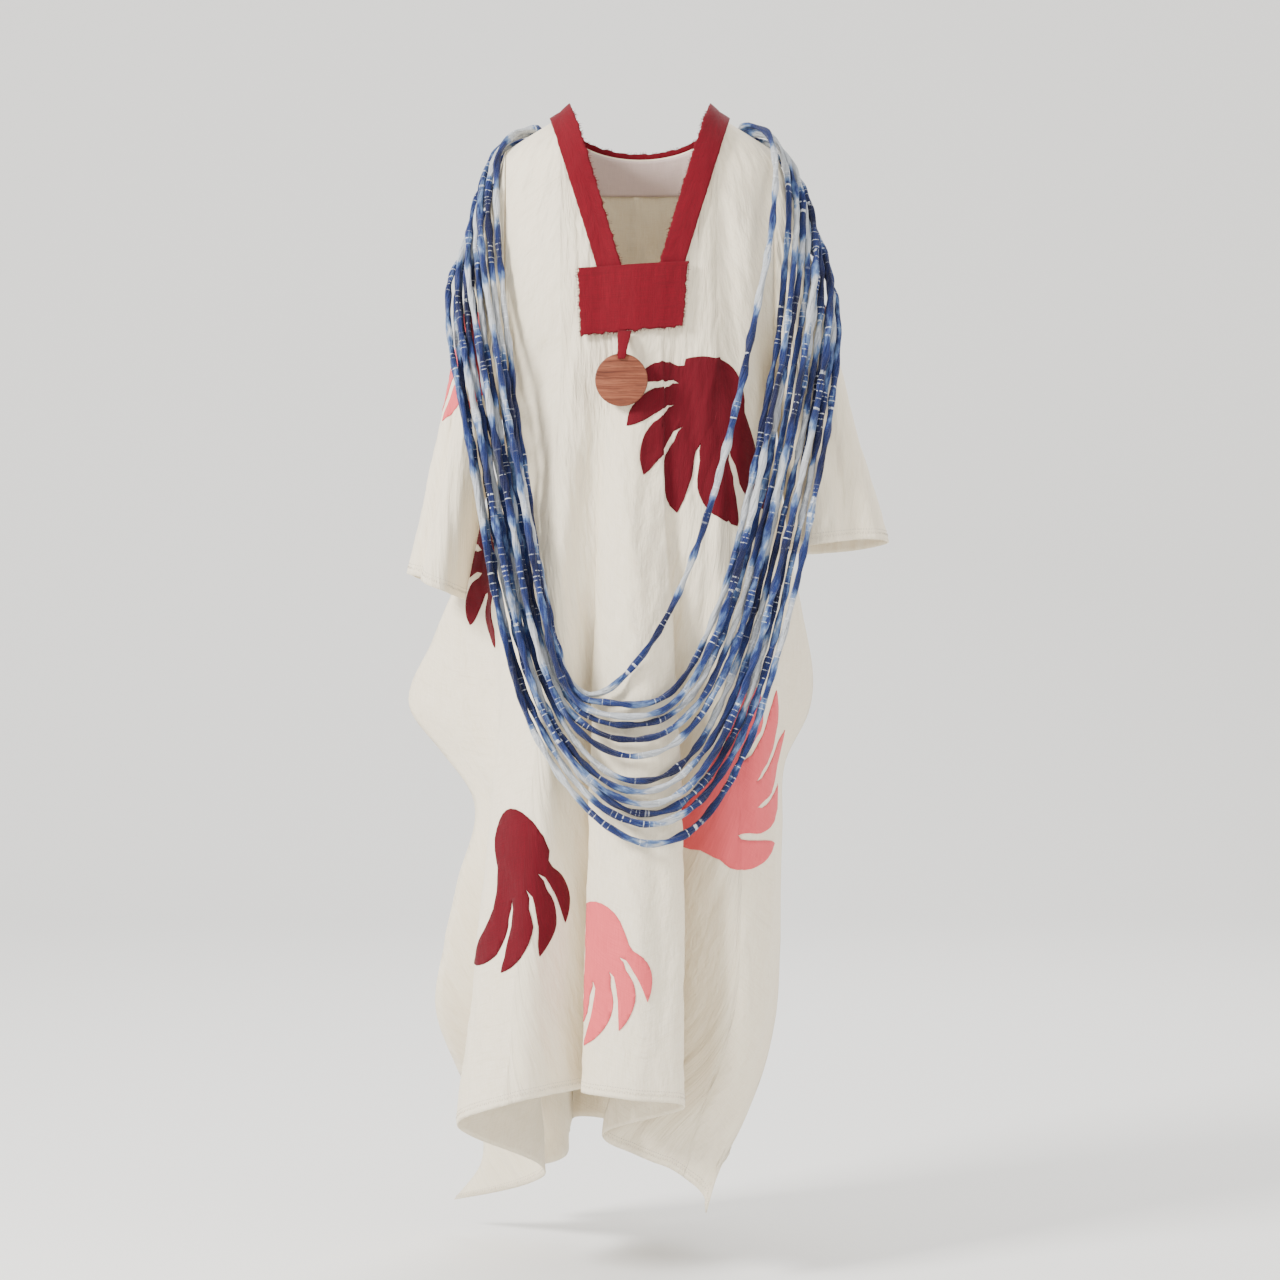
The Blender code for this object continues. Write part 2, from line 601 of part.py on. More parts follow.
def leaf(name, cloth, finish):
    """One leaf of thin cloth, cut along the panel's grid so that it lies on every facet."""
    row = dict(zip(LEAF_COLUMNS, LEAVES[name]))
    outline = split_leaf(row["points"], row["length"], row["fan"], row["fingers"], row["curl"], row["shrink"])
    places = [cloth.place(row["across"] + x, row["drop"] + down) for x, down in outline]
    shape = bmesh.new()
    shape.faces.new([shape.verts.new((cell, line, 0)) for cell, line in places])
    bmesh.ops.triangulate(shape, faces=shape.faces[:])
    for limit, side in ((row["from"], -1), (row["to"], 1)):
        everything = shape.verts[:] + shape.edges[:] + shape.faces[:]
        bmesh.ops.bisect_plane(shape, geom=everything, dist=1e-5, plane_co=(limit, 0, 0), plane_no=(side, 0, 0),
                               clear_outer=True)
    cut_along_grid(shape)
    cells = [vert.co.x for vert in shape.verts]
    rows = [vert.co.y for vert in shape.verts]
    for vert, point in zip(shape.verts, cloth.lift(cells, rows, WALL + row["lift"])):
        vert.co = Vector(point * MM)
    bmesh.ops.recalc_face_normals(shape, faces=shape.faces[:])
    shape.faces.ensure_lookup_table()
    outward = cloth.read(cells[:1], rows[:1], cloth.normal)[0]
    if shape.faces[0].normal.dot(Vector(outward)) < 0:
        bmesh.ops.reverse_faces(shape, faces=shape.faces[:])
    mesh = bpy.data.meshes.new(name)
    shape.to_mesh(mesh)
    shape.free()
    mesh.materials.append(finish)
    obj = bpy.data.objects.new(name, mesh)
    bpy.context.collection.objects.link(obj)
    return thicken(obj, LEAF_WALL)


STRANDS = 12
STRAND_DIAMETER = 9.0
STRAND_PITCH = 10.8
STRAND_CLEARANCE = 3.0
STRAND_POINTS = 34
LAYERS = 3
GROUPS = STRANDS // LAYERS

# Where the strands cross the shoulder, from the strand nearest the neck's front to the farthest one:
# x, y and drop of both, and the width across them. x is mirrored for the left side.
SHOULDER_STATIONS = (
    ((150, 4, 30), (92, 84, 120), 112),
    ((178, -8, 54), (160, 62, 150), 92),
    ((189, -40, 98), (210, 22, 172), 66),
    ((186, -64, 156), (222, -24, 216), 56),
)
# Where they hang in front: drop, x of the innermost and the outermost strand
LEFT_STATIONS = ((250, -176, -222), (381, -164, -210), (512, -144, -198), (643, -124, -187), (708, -104, -176))
RIGHT_STATIONS = ((250, 172, 224), (446, 150, 220), (577, 131, 208), (706, 79, 189))
# The pale strand that hangs by itself on the right: drop, x
LONE_STATIONS = ((67, 168), (250, 144), (355, 126), (512, 97), (629, 64), (723, 6))
# The lowest point of each strand: x, drop
BOTTOMS = ((-54, 758), (-40, 770), (-30, 786), (-25, 798), (-20, 816), (-12, 837),
           (-6, 871), (0, 883), (5, 899), (10, 911), (14, 924), (18, 950))
# On the way from the last station to the lowest point: angle of the arc, and how far the layers still stack
ARC = ((25, 0.93), (45, 0.75), (62, 0.5), (78, 0.2))
ARC_POWER = 4 / 3
# The ends beside the back neck band: angles round the neck, how far outside and below its cut edge, the
# height of a strand's middle over the cloth, and the point inside the shoulder that they are seen from
EXIT_ANGLES = (82, 8)
EXIT_OUTSIDE = 26
EXIT_BELOW = 47
EXIT_DEPTH = 90
END_LIFT = STRAND_DIAMETER / 2 + 0.5
SHOULDER_MIDDLE = (95, 0, 170)
# How the strands are parted: rounds, the clear way to the cloth, and the step of a strand that runs too near it
SETTLE_ROUNDS = 160
CLEAR_WAY = 1.6
CLOTH_STEP = 0.8
# How much of a zigzag goes in one round, at the start
SMOOTHING = 0.06


def slot(index, width):
    """A strand's share of the way across its bundle, and how far its layer stands off, for a bundle this wide."""
    group, layer = divmod(index, LAYERS)
    step = (width - (GROUPS - 1) * STRAND_PITCH) / (GROUPS * (LAYERS - 1))
    step = min(max(step, 0), STRAND_PITCH)
    across = group * (STRAND_PITCH + (LAYERS - 1) * step) + layer * step
    whole = (GROUPS - 1) * (STRAND_PITCH + (LAYERS - 1) * step) + (LAYERS - 1) * step
    return across / whole, layer * math.sqrt(STRAND_PITCH**2 - step**2)


class Cloth:
    """The finished cloth, for what lies on it."""

    def __init__(self, objects):
        bpy.context.view_layer.update()
        graph = bpy.context.evaluated_depsgraph_get()
        points = []
        faces = []
        for obj in objects:
            mesh = obj.evaluated_get(graph).to_mesh()
            faces += [[len(points) + index for index in face.vertices] for face in mesh.polygons]
            points += [vert.co.copy() for vert in mesh.vertices]
            obj.evaluated_get(graph).to_mesh_clear()
        self.tree = BVHTree.FromPolygons(points, faces)

    def front_y(self, x, drop):
        """How far forward the cloth reaches round this place, as seen from the front."""
        starts = [Vector(((x + dx) * MM, -1, (dz - drop) * MM)) for dx in (-24, 0, 24) for dz in (-20, 0, 20)]
        hits = [self.tree.ray_cast(start, Vector((0, 1, 0)))[0] for start in starts]
        return min(hit.y for hit in hits if hit) / MM

    def stand_off(self, point, height):
        """The place that height off the shoulder's cloth, where this point lies as seen from inside."""
        x, y, drop = SHOULDER_MIDDLE
        middle = Vector((math.copysign(min(abs(point[0]), x), point[0]), y, -drop)) * MM
        outward = (Vector(point) * MM - middle).normalized()
        location, normal, _, _ = self.tree.ray_cast(middle + outward, -outward)
        return np.array((location + normal * height * MM) / MM)

    def nearest(self, point):
        """The way from the nearest cloth to this point, and its length."""
        spot = Vector(point) * MM
        location, _, _, distance = self.tree.find_nearest(spot)
        return np.array((spot - location) / distance), distance / MM

    def crosses(self, a, b):
        """Whether cloth lies between two points."""
        run = Vector(b - a) * MM
        return self.tree.ray_cast(Vector(a) * MM, run.normalized(), run.length)[0] is not None

    def free(self, route, height):
        """The route with each stretch that comes nearer than that height moved off the cloth."""
        away = [self.nearest(point) for point in route]
        moves = np.array([way * min(max(height - distance, 0), CLOTH_STEP) for way, distance in away])
        for k, (start, end) in enumerate(itertools.pairwise(route)):
            between_ends = [start + (end - start) * share for share in (0.25, 0.5, 0.75)]
            if self.crosses(start, end) or min(self.nearest(point)[1] for point in between_ends) < height:
                moves[k] = away[k][0] * CLOTH_STEP
                moves[k + 1] = away[k + 1][0] * CLOTH_STEP
        moves[[0, -1]] = 0
        return route + moves


def nearest_place(points, route):
    """For each point, its offset from the nearest place on the route, the run it lies on, and how far along."""
    runs = np.diff(route, axis=0)
    start = points[:, None] - route[:-1]
    along = np.clip((start * runs).sum(2) / (runs**2).sum(1), 0, 1)
    offset = start - along[:, :, None] * runs
    run = np.linalg.norm(offset, axis=2).argmin(1)
    rows = np.arange(len(points))
    return offset[rows, run], run, along[rows, run]


def part(routes):
    """The routes with strands that are too near each other moved apart."""
    moves = np.zeros_like(routes)
    runs = np.arange(routes.shape[1] - 1)
    for a, b in itertools.permutations(range(len(routes)), 2):
        for share in (0, 0.5):
            points = routes[a][:-1] * (1 - share) + routes[a][1:] * share
            offset, run, along = nearest_place(points, routes[b])
            distance = np.linalg.norm(offset, axis=1)[:, None]
            push = offset / distance * np.clip(STRAND_PITCH - distance, 0, None) / 4
            np.add.at(moves[a], runs, push * (1 - share))
            np.add.at(moves[a], runs + 1, push * share)
            np.add.at(moves[b], run, -push * (1 - along[:, None]))
            np.add.at(moves[b], run + 1, -push * along[:, None])
    moves[:, (0, -1)] = 0
    return routes + moves


def strand_route(index, cloth):
    """The points that one strand passes through, from its left end beside the neck band to its right."""
    radius = STRAND_DIAMETER / 2 + STRAND_CLEARANCE

    def hang(x, drop, off):
        return np.array((x, cloth.front_y(x, drop) - radius - off, -drop))

    def over_shoulder(side):
        share, _ = slot(index, 400)
        angle = math.radians(EXIT_ANGLES[0] + (EXIT_ANGLES[1] - EXIT_ANGLES[0]) * share)
        edge = NECK_DROP + (BACK_NECK_DROP - NECK_DROP) * math.cos(angle)
        drop = edge + EXIT_BELOW * math.sqrt(math.cos(angle))
        x = side * (NECK_HALF_WIDTH + EXIT_OUTSIDE) * math.sin(angle)
        points = [cloth.stand_off((x, EXIT_DEPTH * math.cos(angle), -drop), END_LIFT)]
        for inner, outer, width in SHOULDER_STATIONS:
            share, off = slot(index, width)
            x, y, drop = between(inner, outer, share)
            points.append(cloth.stand_off((side * x, y, -drop), radius + off))
        return points

    left = over_shoulder(-1)
    for drop, inner, outer in LEFT_STATIONS:
        share, off = slot(index, abs(outer - inner))
        left.append(hang(inner + (outer - inner) * share, drop, off))
    if index == 0:
        right = over_shoulder(1)[:2]
        right += [hang(x, drop, 0) for drop, x in LONE_STATIONS]
    else:
        right = over_shoulder(1)
        for drop, inner, outer in RIGHT_STATIONS:
            share, off = slot(index, abs(outer - inner))
            right.append(hang(inner + (outer - inner) * share, drop, off))
    x, drop = BOTTOMS[index]
    layer = index % LAYERS
    arcs = []
    for end in (left[-1], right[-1]):
        arc = []
        for angle, stack in ARC:
            if index == 0 and end is right[-1]:
                continue
            across = math.cos(math.radians(angle)) ** ARC_POWER
            down = math.sin(math.radians(angle)) ** ARC_POWER
            arc.append(hang(x + (end[0] - x) * across, -end[2] + (drop + end[2]) * down, layer * stack * STRAND_PITCH))
        arcs.append(arc)
    return np.array(left + arcs[0] + [hang(x, drop, 0)] + arcs[1][::-1] + right[::-1])


def strand_routes(cloth):
    """All the strands' points, on smooth curves that run clear of each other and of the cloth."""
    routes = []
    for index in range(STRANDS):
        route = strand_route(index, cloth)
        routes.append(spline(range(len(route)), route, np.linspace(0, len(route) - 1, STRAND_POINTS)))
    routes = np.array(routes)
    for turn in range(SETTLE_ROUNDS):
        bend = np.diff(routes, n=4, axis=1)
        routes[:, 2:-2] -= bend * SMOOTHING * max(0, 1 - 1.3 * turn / SETTLE_ROUNDS)
        routes = part(routes)
        routes = np.array([cloth.free(route, STRAND_DIAMETER / 2 + CLEAR_WAY) for route in routes])
    return routes


def strand(index, points, finish):
    name = f"strand_{index + 1:02d}"
    curve = bpy.data.curves.new(name, "CURVE")
    curve.dimensions = "3D"
    curve.bevel_depth = STRAND_DIAMETER / 2 * MM
    curve.bevel_resolution = 2
    curve.use_fill_caps = True
    path = curve.splines.new("POLY")
    path.points.add(len(points) - 1)
    for place, point in zip(path.points, points):
        place.co = (*(point * MM), 1)
    curve.materials.append(finish)
    obj = bpy.data.objects.new(name, curve)
    bpy.context.collection.objects.link(obj)
    return obj


def main():
    clear_scene()
    cotton = material("ecru cotton", (0.80, 0.76, 0.68), 0.85)
    crimson = material("crimson cotton", (0.36, 0.004, 0.02), 0.9)
    maroon = material("maroon applique", (0.27, 0.004, 0.016), 0.9)
    coral = material("coral applique", (0.85, 0.2, 0.21), 0.9)
    indigo = material("indigo strand", (0.02, 0.04, 0.18), 0.9)
    pink = material("pink facing", (0.76, 0.66, 0.65), 0.8)
    wood = material("disc wood", (0.38, 0.13, 0.06), 0.5)
    front_cloth = front()
    back_cloth = back()
    front_grid = front_cloth.grid()
    cloth = [add_sheet("front_panel", front_grid, WALL, cotton),
             add_sheet("back_panel", back_cloth.grid(), WALL, cotton, flip=True)]
    grids = {"front": PanelGrid(front_grid, front_cloth.cells / 2, 1)}
    for name, cuff in CUFFS.items():
        grid = sleeve_grid(name, front_cloth, back_cloth)
        cloth.append(add_sheet(name, grid, WALL, cotton, closed=True, flip=cuff["side"] > 0))
        opened = np.roll(grid, SLEEVE_HALF, axis=1)
        grids[name] = PanelGrid(np.concatenate([opened, opened[:, :1]], axis=1), SLEEVE_HALF, -cuff["side"])
    front_surface = Surface(front_cloth)
    back_surface = Surface(back_cloth)
    cloth.append(add_sheet("neck_band_left", neck_band(front_surface, -1), BAND_WALL, crimson))
    cloth.append(add_sheet("neck_band_right", neck_band(front_surface, 1), BAND_WALL, crimson, flip=True))
    cloth.append(add_sheet("neck_band_back", back_band(back_surface), BAND_WALL, crimson, flip=True))
    add_sheet("back_facing", back_facing(back_surface), FACING_WALL, pink, flip=True, offset=-1)
    add_sheet("chest_patch", chest_patch(front_surface), PATCH_WALL, crimson)
    add_sheet("pendant_tab", pendant_tab(front_surface), TAB_WALL, crimson)
    wooden_disc(front_surface, wood)
    for name, row in LEAVES.items():
        cloth.append(leaf(name, grids[row[0]], coral if name in CORAL_LEAVES else maroon))
    for index, points in enumerate(strand_routes(Cloth(cloth))):
        strand(index, points, indigo)


main()
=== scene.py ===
# %% [markdown]
# # A worn kaftan of hand-woven cotton
# This script dresses the solids of a kaftan with cloth, cords and wood. The solids are loaded as a fixed
# frame, and every piece made here lies where they lie. Sizes in the tables are in millimetres, a drop is
# a distance below the neck, and every mesh is made in metres.

# %% Load the frame
import math
import random

import bmesh
import bpy
import numpy as np
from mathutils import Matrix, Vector, noise


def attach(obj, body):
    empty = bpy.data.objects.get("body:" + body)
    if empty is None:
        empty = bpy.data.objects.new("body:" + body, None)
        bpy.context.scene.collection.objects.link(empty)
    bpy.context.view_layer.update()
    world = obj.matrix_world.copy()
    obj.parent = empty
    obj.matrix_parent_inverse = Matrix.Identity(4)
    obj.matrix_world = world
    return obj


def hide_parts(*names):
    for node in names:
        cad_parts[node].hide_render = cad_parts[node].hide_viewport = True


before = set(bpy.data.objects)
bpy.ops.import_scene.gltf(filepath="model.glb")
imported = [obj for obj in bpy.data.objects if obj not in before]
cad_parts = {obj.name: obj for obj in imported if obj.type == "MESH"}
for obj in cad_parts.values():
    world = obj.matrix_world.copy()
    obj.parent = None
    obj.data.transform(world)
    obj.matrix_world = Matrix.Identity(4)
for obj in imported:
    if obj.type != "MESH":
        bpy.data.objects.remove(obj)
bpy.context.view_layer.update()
MM = 0.001
random.seed(7)
print("frame:", len(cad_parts), "solids")

# %% [markdown]
# The photograph was taken from the front with a long lens, a little below the chest and tilted slightly
# down. The room is a plain pale floor that sweeps up into a pale wall, under an even pale sky. One large soft
# light stands high on the left and a weaker one on the right, so cream cloth shows without hard shadows.

# %% Camera and lights
def add_object(name, data):
    obj = bpy.data.objects.new(name, data)
    bpy.context.scene.collection.objects.link(obj)
    return obj


LENS = 94.4
SENSOR_WIDTH = 36
CAMERA_PLACE = (0, -4.5, -0.504)
CAMERA_TILT = 2.49
LIT_POINT = Vector((0, 0, -0.75))

camera = add_object("camera", bpy.data.cameras.new("camera"))
camera.data.lens = LENS
camera.data.sensor_width = SENSOR_WIDTH
camera.location = CAMERA_PLACE
camera.rotation_euler = (math.radians(90 - CAMERA_TILT), 0, 0)
bpy.context.scene.camera = camera


def soft_light(name, place, size, power, colour):
    light = bpy.data.lights.new(name, "AREA")
    light.shape = "SQUARE"
    light.size = size
    light.energy = power
    light.color = colour
    obj = add_object(name, light)
    obj.location = place
    obj.rotation_euler = (LIT_POINT - Vector(place)).to_track_quat("-Z", "Y").to_euler()


soft_light("key", (-3.0, -2.2, 1.6), 1.0, 330, (1.0, 0.98, 0.95))
soft_light("fill", (3.0, -2.2, 0.3), 2.0, 40, (1.0, 0.97, 0.93))
soft_light("rim", (1.0, 2.6, 1.8), 2.0, 90, (1.0, 1.0, 1.0))
SKY_COLOUR = (1.0, 0.99, 0.97, 1)
SKY_STRENGTH = 1.25
world = bpy.data.worlds.new("studio")
world.use_nodes = True
sky = world.node_tree.nodes["Background"].inputs
sky["Color"].default_value = SKY_COLOUR
sky["Strength"].default_value = SKY_STRENGTH
bpy.context.scene.world = world

# The floor and the wall are one sheet. Sizes are in metres.
HALF_WIDTH = 7.0
FRONT_EDGE = -6.0
WALL_FOOT = 3.6
BEND = 1.6
BEND_STEPS = 24
WALL_TOP = 5.0
FLOOR = -1.54
PAPER_COLOUR = (0.86, 0.855, 0.84, 1)
PAPER_ROUGHNESS = 0.9
bend = [(WALL_FOOT + BEND * math.sin(a), FLOOR + BEND * (1 - math.cos(a)))
        for a in (math.pi / 2 * step / BEND_STEPS for step in range(BEND_STEPS + 1))]
profile = [(FRONT_EDGE, FLOOR), *bend, (WALL_FOOT + BEND, WALL_TOP)]
shape = bmesh.new()
sides = [[shape.verts.new((x, y, z)) for y, z in profile] for x in (-HALF_WIDTH, HALF_WIDTH)]
for k in range(len(profile) - 1):
    shape.faces.new((sides[0][k], sides[1][k], sides[1][k + 1], sides[0][k + 1])).smooth = True
sweep_mesh = bpy.data.meshes.new("sweep")
shape.to_mesh(sweep_mesh)
shape.free()
pale_paper = bpy.data.materials.new("pale_paper")
pale_paper.use_nodes = True
paper_surface = pale_paper.node_tree.nodes["Principled BSDF"].inputs
paper_surface["Base Color"].default_value = PAPER_COLOUR
paper_surface["Roughness"].default_value = PAPER_ROUGHNESS
sweep_mesh.materials.append(pale_paper)
add_object("sweep", sweep_mesh)

# %% [markdown]
# Materials are written as sums and products. `Wire` wraps a socket, and each operator on it adds one Math
# node, so `0.5 + 0.2 * weave` reads as it would on paper.

# %% Shader maths
class Wire:
    """A shader socket on which + - * and the like add Math nodes."""

    def __init__(self, finish, socket):
        self.finish = finish
        self.socket = socket

    def math(self, operation, *values):
        return self.finish.node("ShaderNodeMath", {"operation": operation}, dict(enumerate(values)))

    def __add__(self, other):
        return self.math("ADD", self, other)

    def __sub__(self, other):
        return self.math("SUBTRACT", self, other)

    def __rsub__(self, other):
        return self.math("SUBTRACT", other, self)

    def __mul__(self, other):
        return self.math("MULTIPLY", self, other)

    def __truediv__(self, other):
        return self.math("DIVIDE", self, other)

    def above(self, edge, soft):
        """0 below edge, 1 above edge + soft, with a straight ramp between."""
        return self.finish.node("ShaderNodeMapRange", {"clamp": True},
                                {"Value": self, "From Min": edge, "From Max": edge + soft})

    def whole(self):
        return self.math("FLOOR", self)

    def fraction(self):
        return self.math("FRACT", self)

    __radd__ = __add__
    __rmul__ = __mul__


class Finish:
    """A material, with one method that adds any node."""

    def __init__(self, name, roughness, sheen=0.0):
        self.material = bpy.data.materials.new(name)
        self.material.use_nodes = True
        self.tree = self.material.node_tree
        self.shader = self.tree.nodes["Principled BSDF"]
        self.shader.inputs["Roughness"].default_value = roughness
        self.shader.inputs["Sheen Weight"].default_value = sheen
        self.shader.inputs["Specular IOR Level"].default_value = 0.25

    def node(self, kind, settings=None, sockets=None, output=0):
        made = self.tree.nodes.new(kind)
        for name, value in (settings or {}).items():
            if name == "stops":
                for k, (place, colour) in enumerate(value):
                    stop = made.color_ramp.elements[k] if k < 2 else made.color_ramp.elements.new(place)
                    stop.position = place
                    stop.color = (*colour, 1)
            else:
                setattr(made, name, value)
        for name, value in (sockets or {}).items():
            self.plug(made.inputs[name], value)
        return Wire(self, made.outputs[output])

    def plug(self, socket, value):
        if isinstance(value, Wire):
            self.tree.links.new(value.socket, socket)
        else:
            socket.default_value = value

    def noise(self, vector, scale, detail=2.0):
        return self.node("ShaderNodeTexNoise", None, {"Vector": vector, "Scale": scale, "Detail": detail})

    def vector(self, x, y, z=0.0):
        return self.node("ShaderNodeCombineXYZ", None, {"X": x, "Y": y, "Z": z})

    def parts(self, vector):
        split = self.tree.nodes.new("ShaderNodeSeparateXYZ")
        self.plug(split.inputs[0], vector)
        return [Wire(self, output) for output in split.outputs]

    def uv(self):
        return self.node("ShaderNodeTexCoord", output="UV")

    def place(self):
        return self.node("ShaderNodeTexCoord", output="Object")

    def mix(self, share, a, b):
        """A colour that is a at share 0 and b at share 1."""
        made = self.tree.nodes.new("ShaderNodeMix")
        made.data_type = "RGBA"
        self.plug(made.inputs[0], share)
        for socket, value in ((made.inputs[6], a), (made.inputs[7], b)):
            self.plug(socket, value if isinstance(value, Wire) else (*value, 1))
        return Wire(self, made.outputs[2])

    def bump(self, height, distance, under=None):
        sockets = {"Height": height, "Distance": distance, "Strength": 1.0}
        if under is not None:
            sockets["Normal"] = under
        return self.node("ShaderNodeBump", None, sockets)

    def wear(self, colour=None, roughness=None, normal=None):
        """Sets what the surface shows and gives back the material."""
        for name, value in (("Base Color", colour), ("Roughness", roughness), ("Normal", normal)):
            if value is not None:
                self.plug(self.shader.inputs[name], value)
        return self.material


# %% [markdown]
# ## Finishes
# The body of the kaftan is ecru cotton woven by hand. Close up it shows threads of uneven thickness in both
# directions; from further off it shows soft crinkles that run mostly downwards. Streaks of stretched noise
# make the threads, and a rounder, larger noise makes the crinkle. Both follow the cloth's own UV map, which
# is in metres.

# %% Cotton
def threads(finish, uv, fine):
    """Slubs along and across the cloth: two noises, each stretched one way."""
    x, y, _ = finish.parts(uv)
    down = finish.noise(finish.vector(x * fine, y * (fine * 0.05)), 1.0, 1.0)
    across = finish.noise(finish.vector(x * (fine * 0.05), y * fine), 1.0, 1.0)
    return down, across


def cotton(name, light, dark, shade, fine=900, crinkle=0.0011, roughness=0.9, sheen=0.12):
    finish = Finish(name, roughness, sheen)
    uv = finish.uv()
    x, y, _ = finish.parts(uv)
    down, across = threads(finish, uv, fine)
    weave = down * 0.5 + across * 0.5
    soft = finish.noise(finish.vector(x * 34, y * 15), 1.0, 4.0)
    cloud = finish.noise(finish.vector(x * 5, y * 3), 1.0, 3.0)
    slub = finish.noise(finish.vector(x * 9, y * 700), 1.0, 2.0).above(0.62, 0.1)
    colour = finish.mix(weave.above(0.3, 0.4), dark, light)
    colour = finish.mix(cloud.above(0.45, 0.4) * 0.5, colour, shade)
    colour = finish.mix(slub * 0.35, colour, shade)
    creased = finish.bump(soft, crinkle * 7)
    return finish.wear(colour, 0.82 + weave * 0.16, finish.bump(weave + slub * 0.4, 0.0005, creased))


ecru = cotton("ecru_cotton", (0.90, 0.82, 0.66), (0.80, 0.70, 0.52), (0.82, 0.71, 0.51))
crimson = cotton("crimson_cotton", (0.155, 0.0008, 0.009), (0.095, 0.0005, 0.005), (0.125, 0.0006, 0.007),
                 700, 0.0005, 0.95, 0.02)
maroon = cotton("maroon_applique", (0.12, 0.0008, 0.008), (0.080, 0.0005, 0.005), (0.10, 0.0006, 0.006),
                800, 0.0004, 0.95, 0.02)
coral = cotton("coral_applique", (0.78, 0.115, 0.13), (0.66, 0.085, 0.10), (0.72, 0.10, 0.11), 800, 0.0004,
               0.9, 0.05)
thread = cotton("thread", (0.66, 0.60, 0.50), (0.56, 0.50, 0.41), (0.60, 0.54, 0.45), 900, 0.0002)
pink = cotton("pink_facing", (0.66, 0.52, 0.49), (0.58, 0.45, 0.42), (0.62, 0.48, 0.45), 1200, 0.0004, 0.8)

# %% [markdown]
# The cords are rolled from cloth that was dyed in indigo after it had been tied. Where the ties sat, thin
# pale lines cross the cord, and the dye fades in long patches from near black blue to bare cotton. The UV
# map of a cord runs along it in metres, and each cord starts at its own place, so no two look alike.

# %% Indigo
def indigo_cloth():
    finish = Finish("indigo_strand", 0.92, 0.15)
    along, around, _ = finish.parts(finish.uv())
    patches = finish.noise(finish.vector(along * 8, along * 0), 1.0, 0.5)
    blots = finish.noise(finish.vector(along * 55, around * 4), 1.0, 3.0)
    dye = patches + blots * 0.16
    colour = finish.node("ShaderNodeValToRGB", {"stops": (
        (0.0, (0.62, 0.62, 0.60)), (1.0, (0.004, 0.006, 0.035)), (0.52, (0.50, 0.53, 0.57)),
        (0.55, (0.13, 0.22, 0.42)), (0.585, (0.014, 0.030, 0.14)), (0.70, (0.005, 0.009, 0.052)))},
        {"Fac": dye})
    ties = (along * 95 + finish.noise(finish.vector(along * 30, along * 0), 1.0, 2.0) * 5).fraction()
    tied = finish.noise(finish.vector(along * 14, along * 0, 5.0), 1.0, 1.0).above(0.5, 0.06)
    broken = finish.noise(finish.vector(along * 200, around * 7), 1.0, 1.0).above(0.4, 0.1)
    lines = ties.above(0.86, 0.04) * tied * broken
    colour = finish.mix(lines * 0.85, colour, (0.74, 0.77, 0.80))
    rolls = finish.noise(finish.vector(along * 30, around * 9 + along * 60), 1.0, 3.0)
    grain = finish.noise(finish.vector(along * 900, around * 40), 1.0, 1.0)
    return finish.wear(colour, None, finish.bump(grain, 0.0005, finish.bump(rolls, 0.009)))


indigo = indigo_cloth()

# %% [markdown]
# The disc is turned from a reddish wood. Its grain runs level: dark and light streaks that are long one way
# and fine the other, with pores as short dark lines.

# %% Wood
def turned_wood():
    finish = Finish("disc_wood", 0.5)
    x, y, z = finish.parts(finish.place())
    bend = finish.noise(finish.vector(x * 14, z * 30), 1.0, 2.0)
    streaks = finish.noise(finish.vector(x * 10, y * 120, z * 330 + bend * 3), 1.0, 4.0)
    pores = finish.noise(finish.vector(x * 60, y * 900, z * 1900), 1.0, 2.0).above(0.60, 0.08)
    colour = finish.node("ShaderNodeValToRGB", {"stops": (
        (0.30, (0.085, 0.020, 0.010)), (0.72, (0.27, 0.090, 0.045)), (0.50, (0.18, 0.052, 0.026)))},
        {"Fac": streaks})
    colour = finish.mix(pores * 0.6, colour, (0.045, 0.012, 0.006))
    return finish.wear(colour, 0.42 + streaks * 0.2, finish.bump(streaks - pores * 0.4, 0.0004))


wood = turned_wood()
print("finishes:", [m.name for m in bpy.data.materials])

# %% [markdown]
# ## Cords
# Twelve cords hang from the back of the neck over both shoulders and cross the front in one bundle of
# curves. Each is a rolled strip of cloth, so its outline is never quite round: it is a tube along a smooth
# line, flattened a little and turned slowly on its way. The line runs where the solid cord runs: the solid's
# rings are found one after another from its end, and their middles are the points of the route.

# %% Cord routes
def ring_middles(node):
    """The middles of a solid cord's rings, from one end to the other."""
    copy = bmesh.new()
    copy.from_mesh(node.data)
    bmesh.ops.remove_doubles(copy, verts=copy.verts, dist=0.00002)
    copy.verts.index_update()
    start = min(copy.verts, key=lambda vert: vert.co.x)
    for _ in range(2):
        start = rings_from([start])[-1][0]
    end = [vert for vert in copy.verts if (vert.co - start.co).length < CORD_DIAMETER * 1.08]
    middles = [sum((vert.co for vert in ring), Vector()) / len(ring) for ring in rings_from(end)]
    copy.free()
    if middles[0].x > middles[-1].x:
        middles.reverse()
    return np.array(middles)


def rings_from(ring):
    """Rings of vertices, each the neighbours of the one before, in an order that is the same each run."""
    seen = set(ring)
    levels = [ring]
    while True:
        following = {edge.other_vert(vert) for vert in levels[-1] for edge in vert.link_edges} - seen
        if not following:
            return levels
        seen |= following
        levels.append(sorted(following, key=lambda vert: vert.index))


def way_along(points):
    """The way from the first row of points to each row, along every column."""
    steps = np.linalg.norm(np.diff(points, axis=0), axis=-1)
    return np.concatenate([np.zeros((1, *steps.shape[1:])), np.cumsum(steps, axis=0)], axis=0)


def read_along(at, way, points):
    """The points of a line at the ways in at."""
    return np.stack([np.interp(at, way, points[:, k]) for k in range(3)], axis=1)


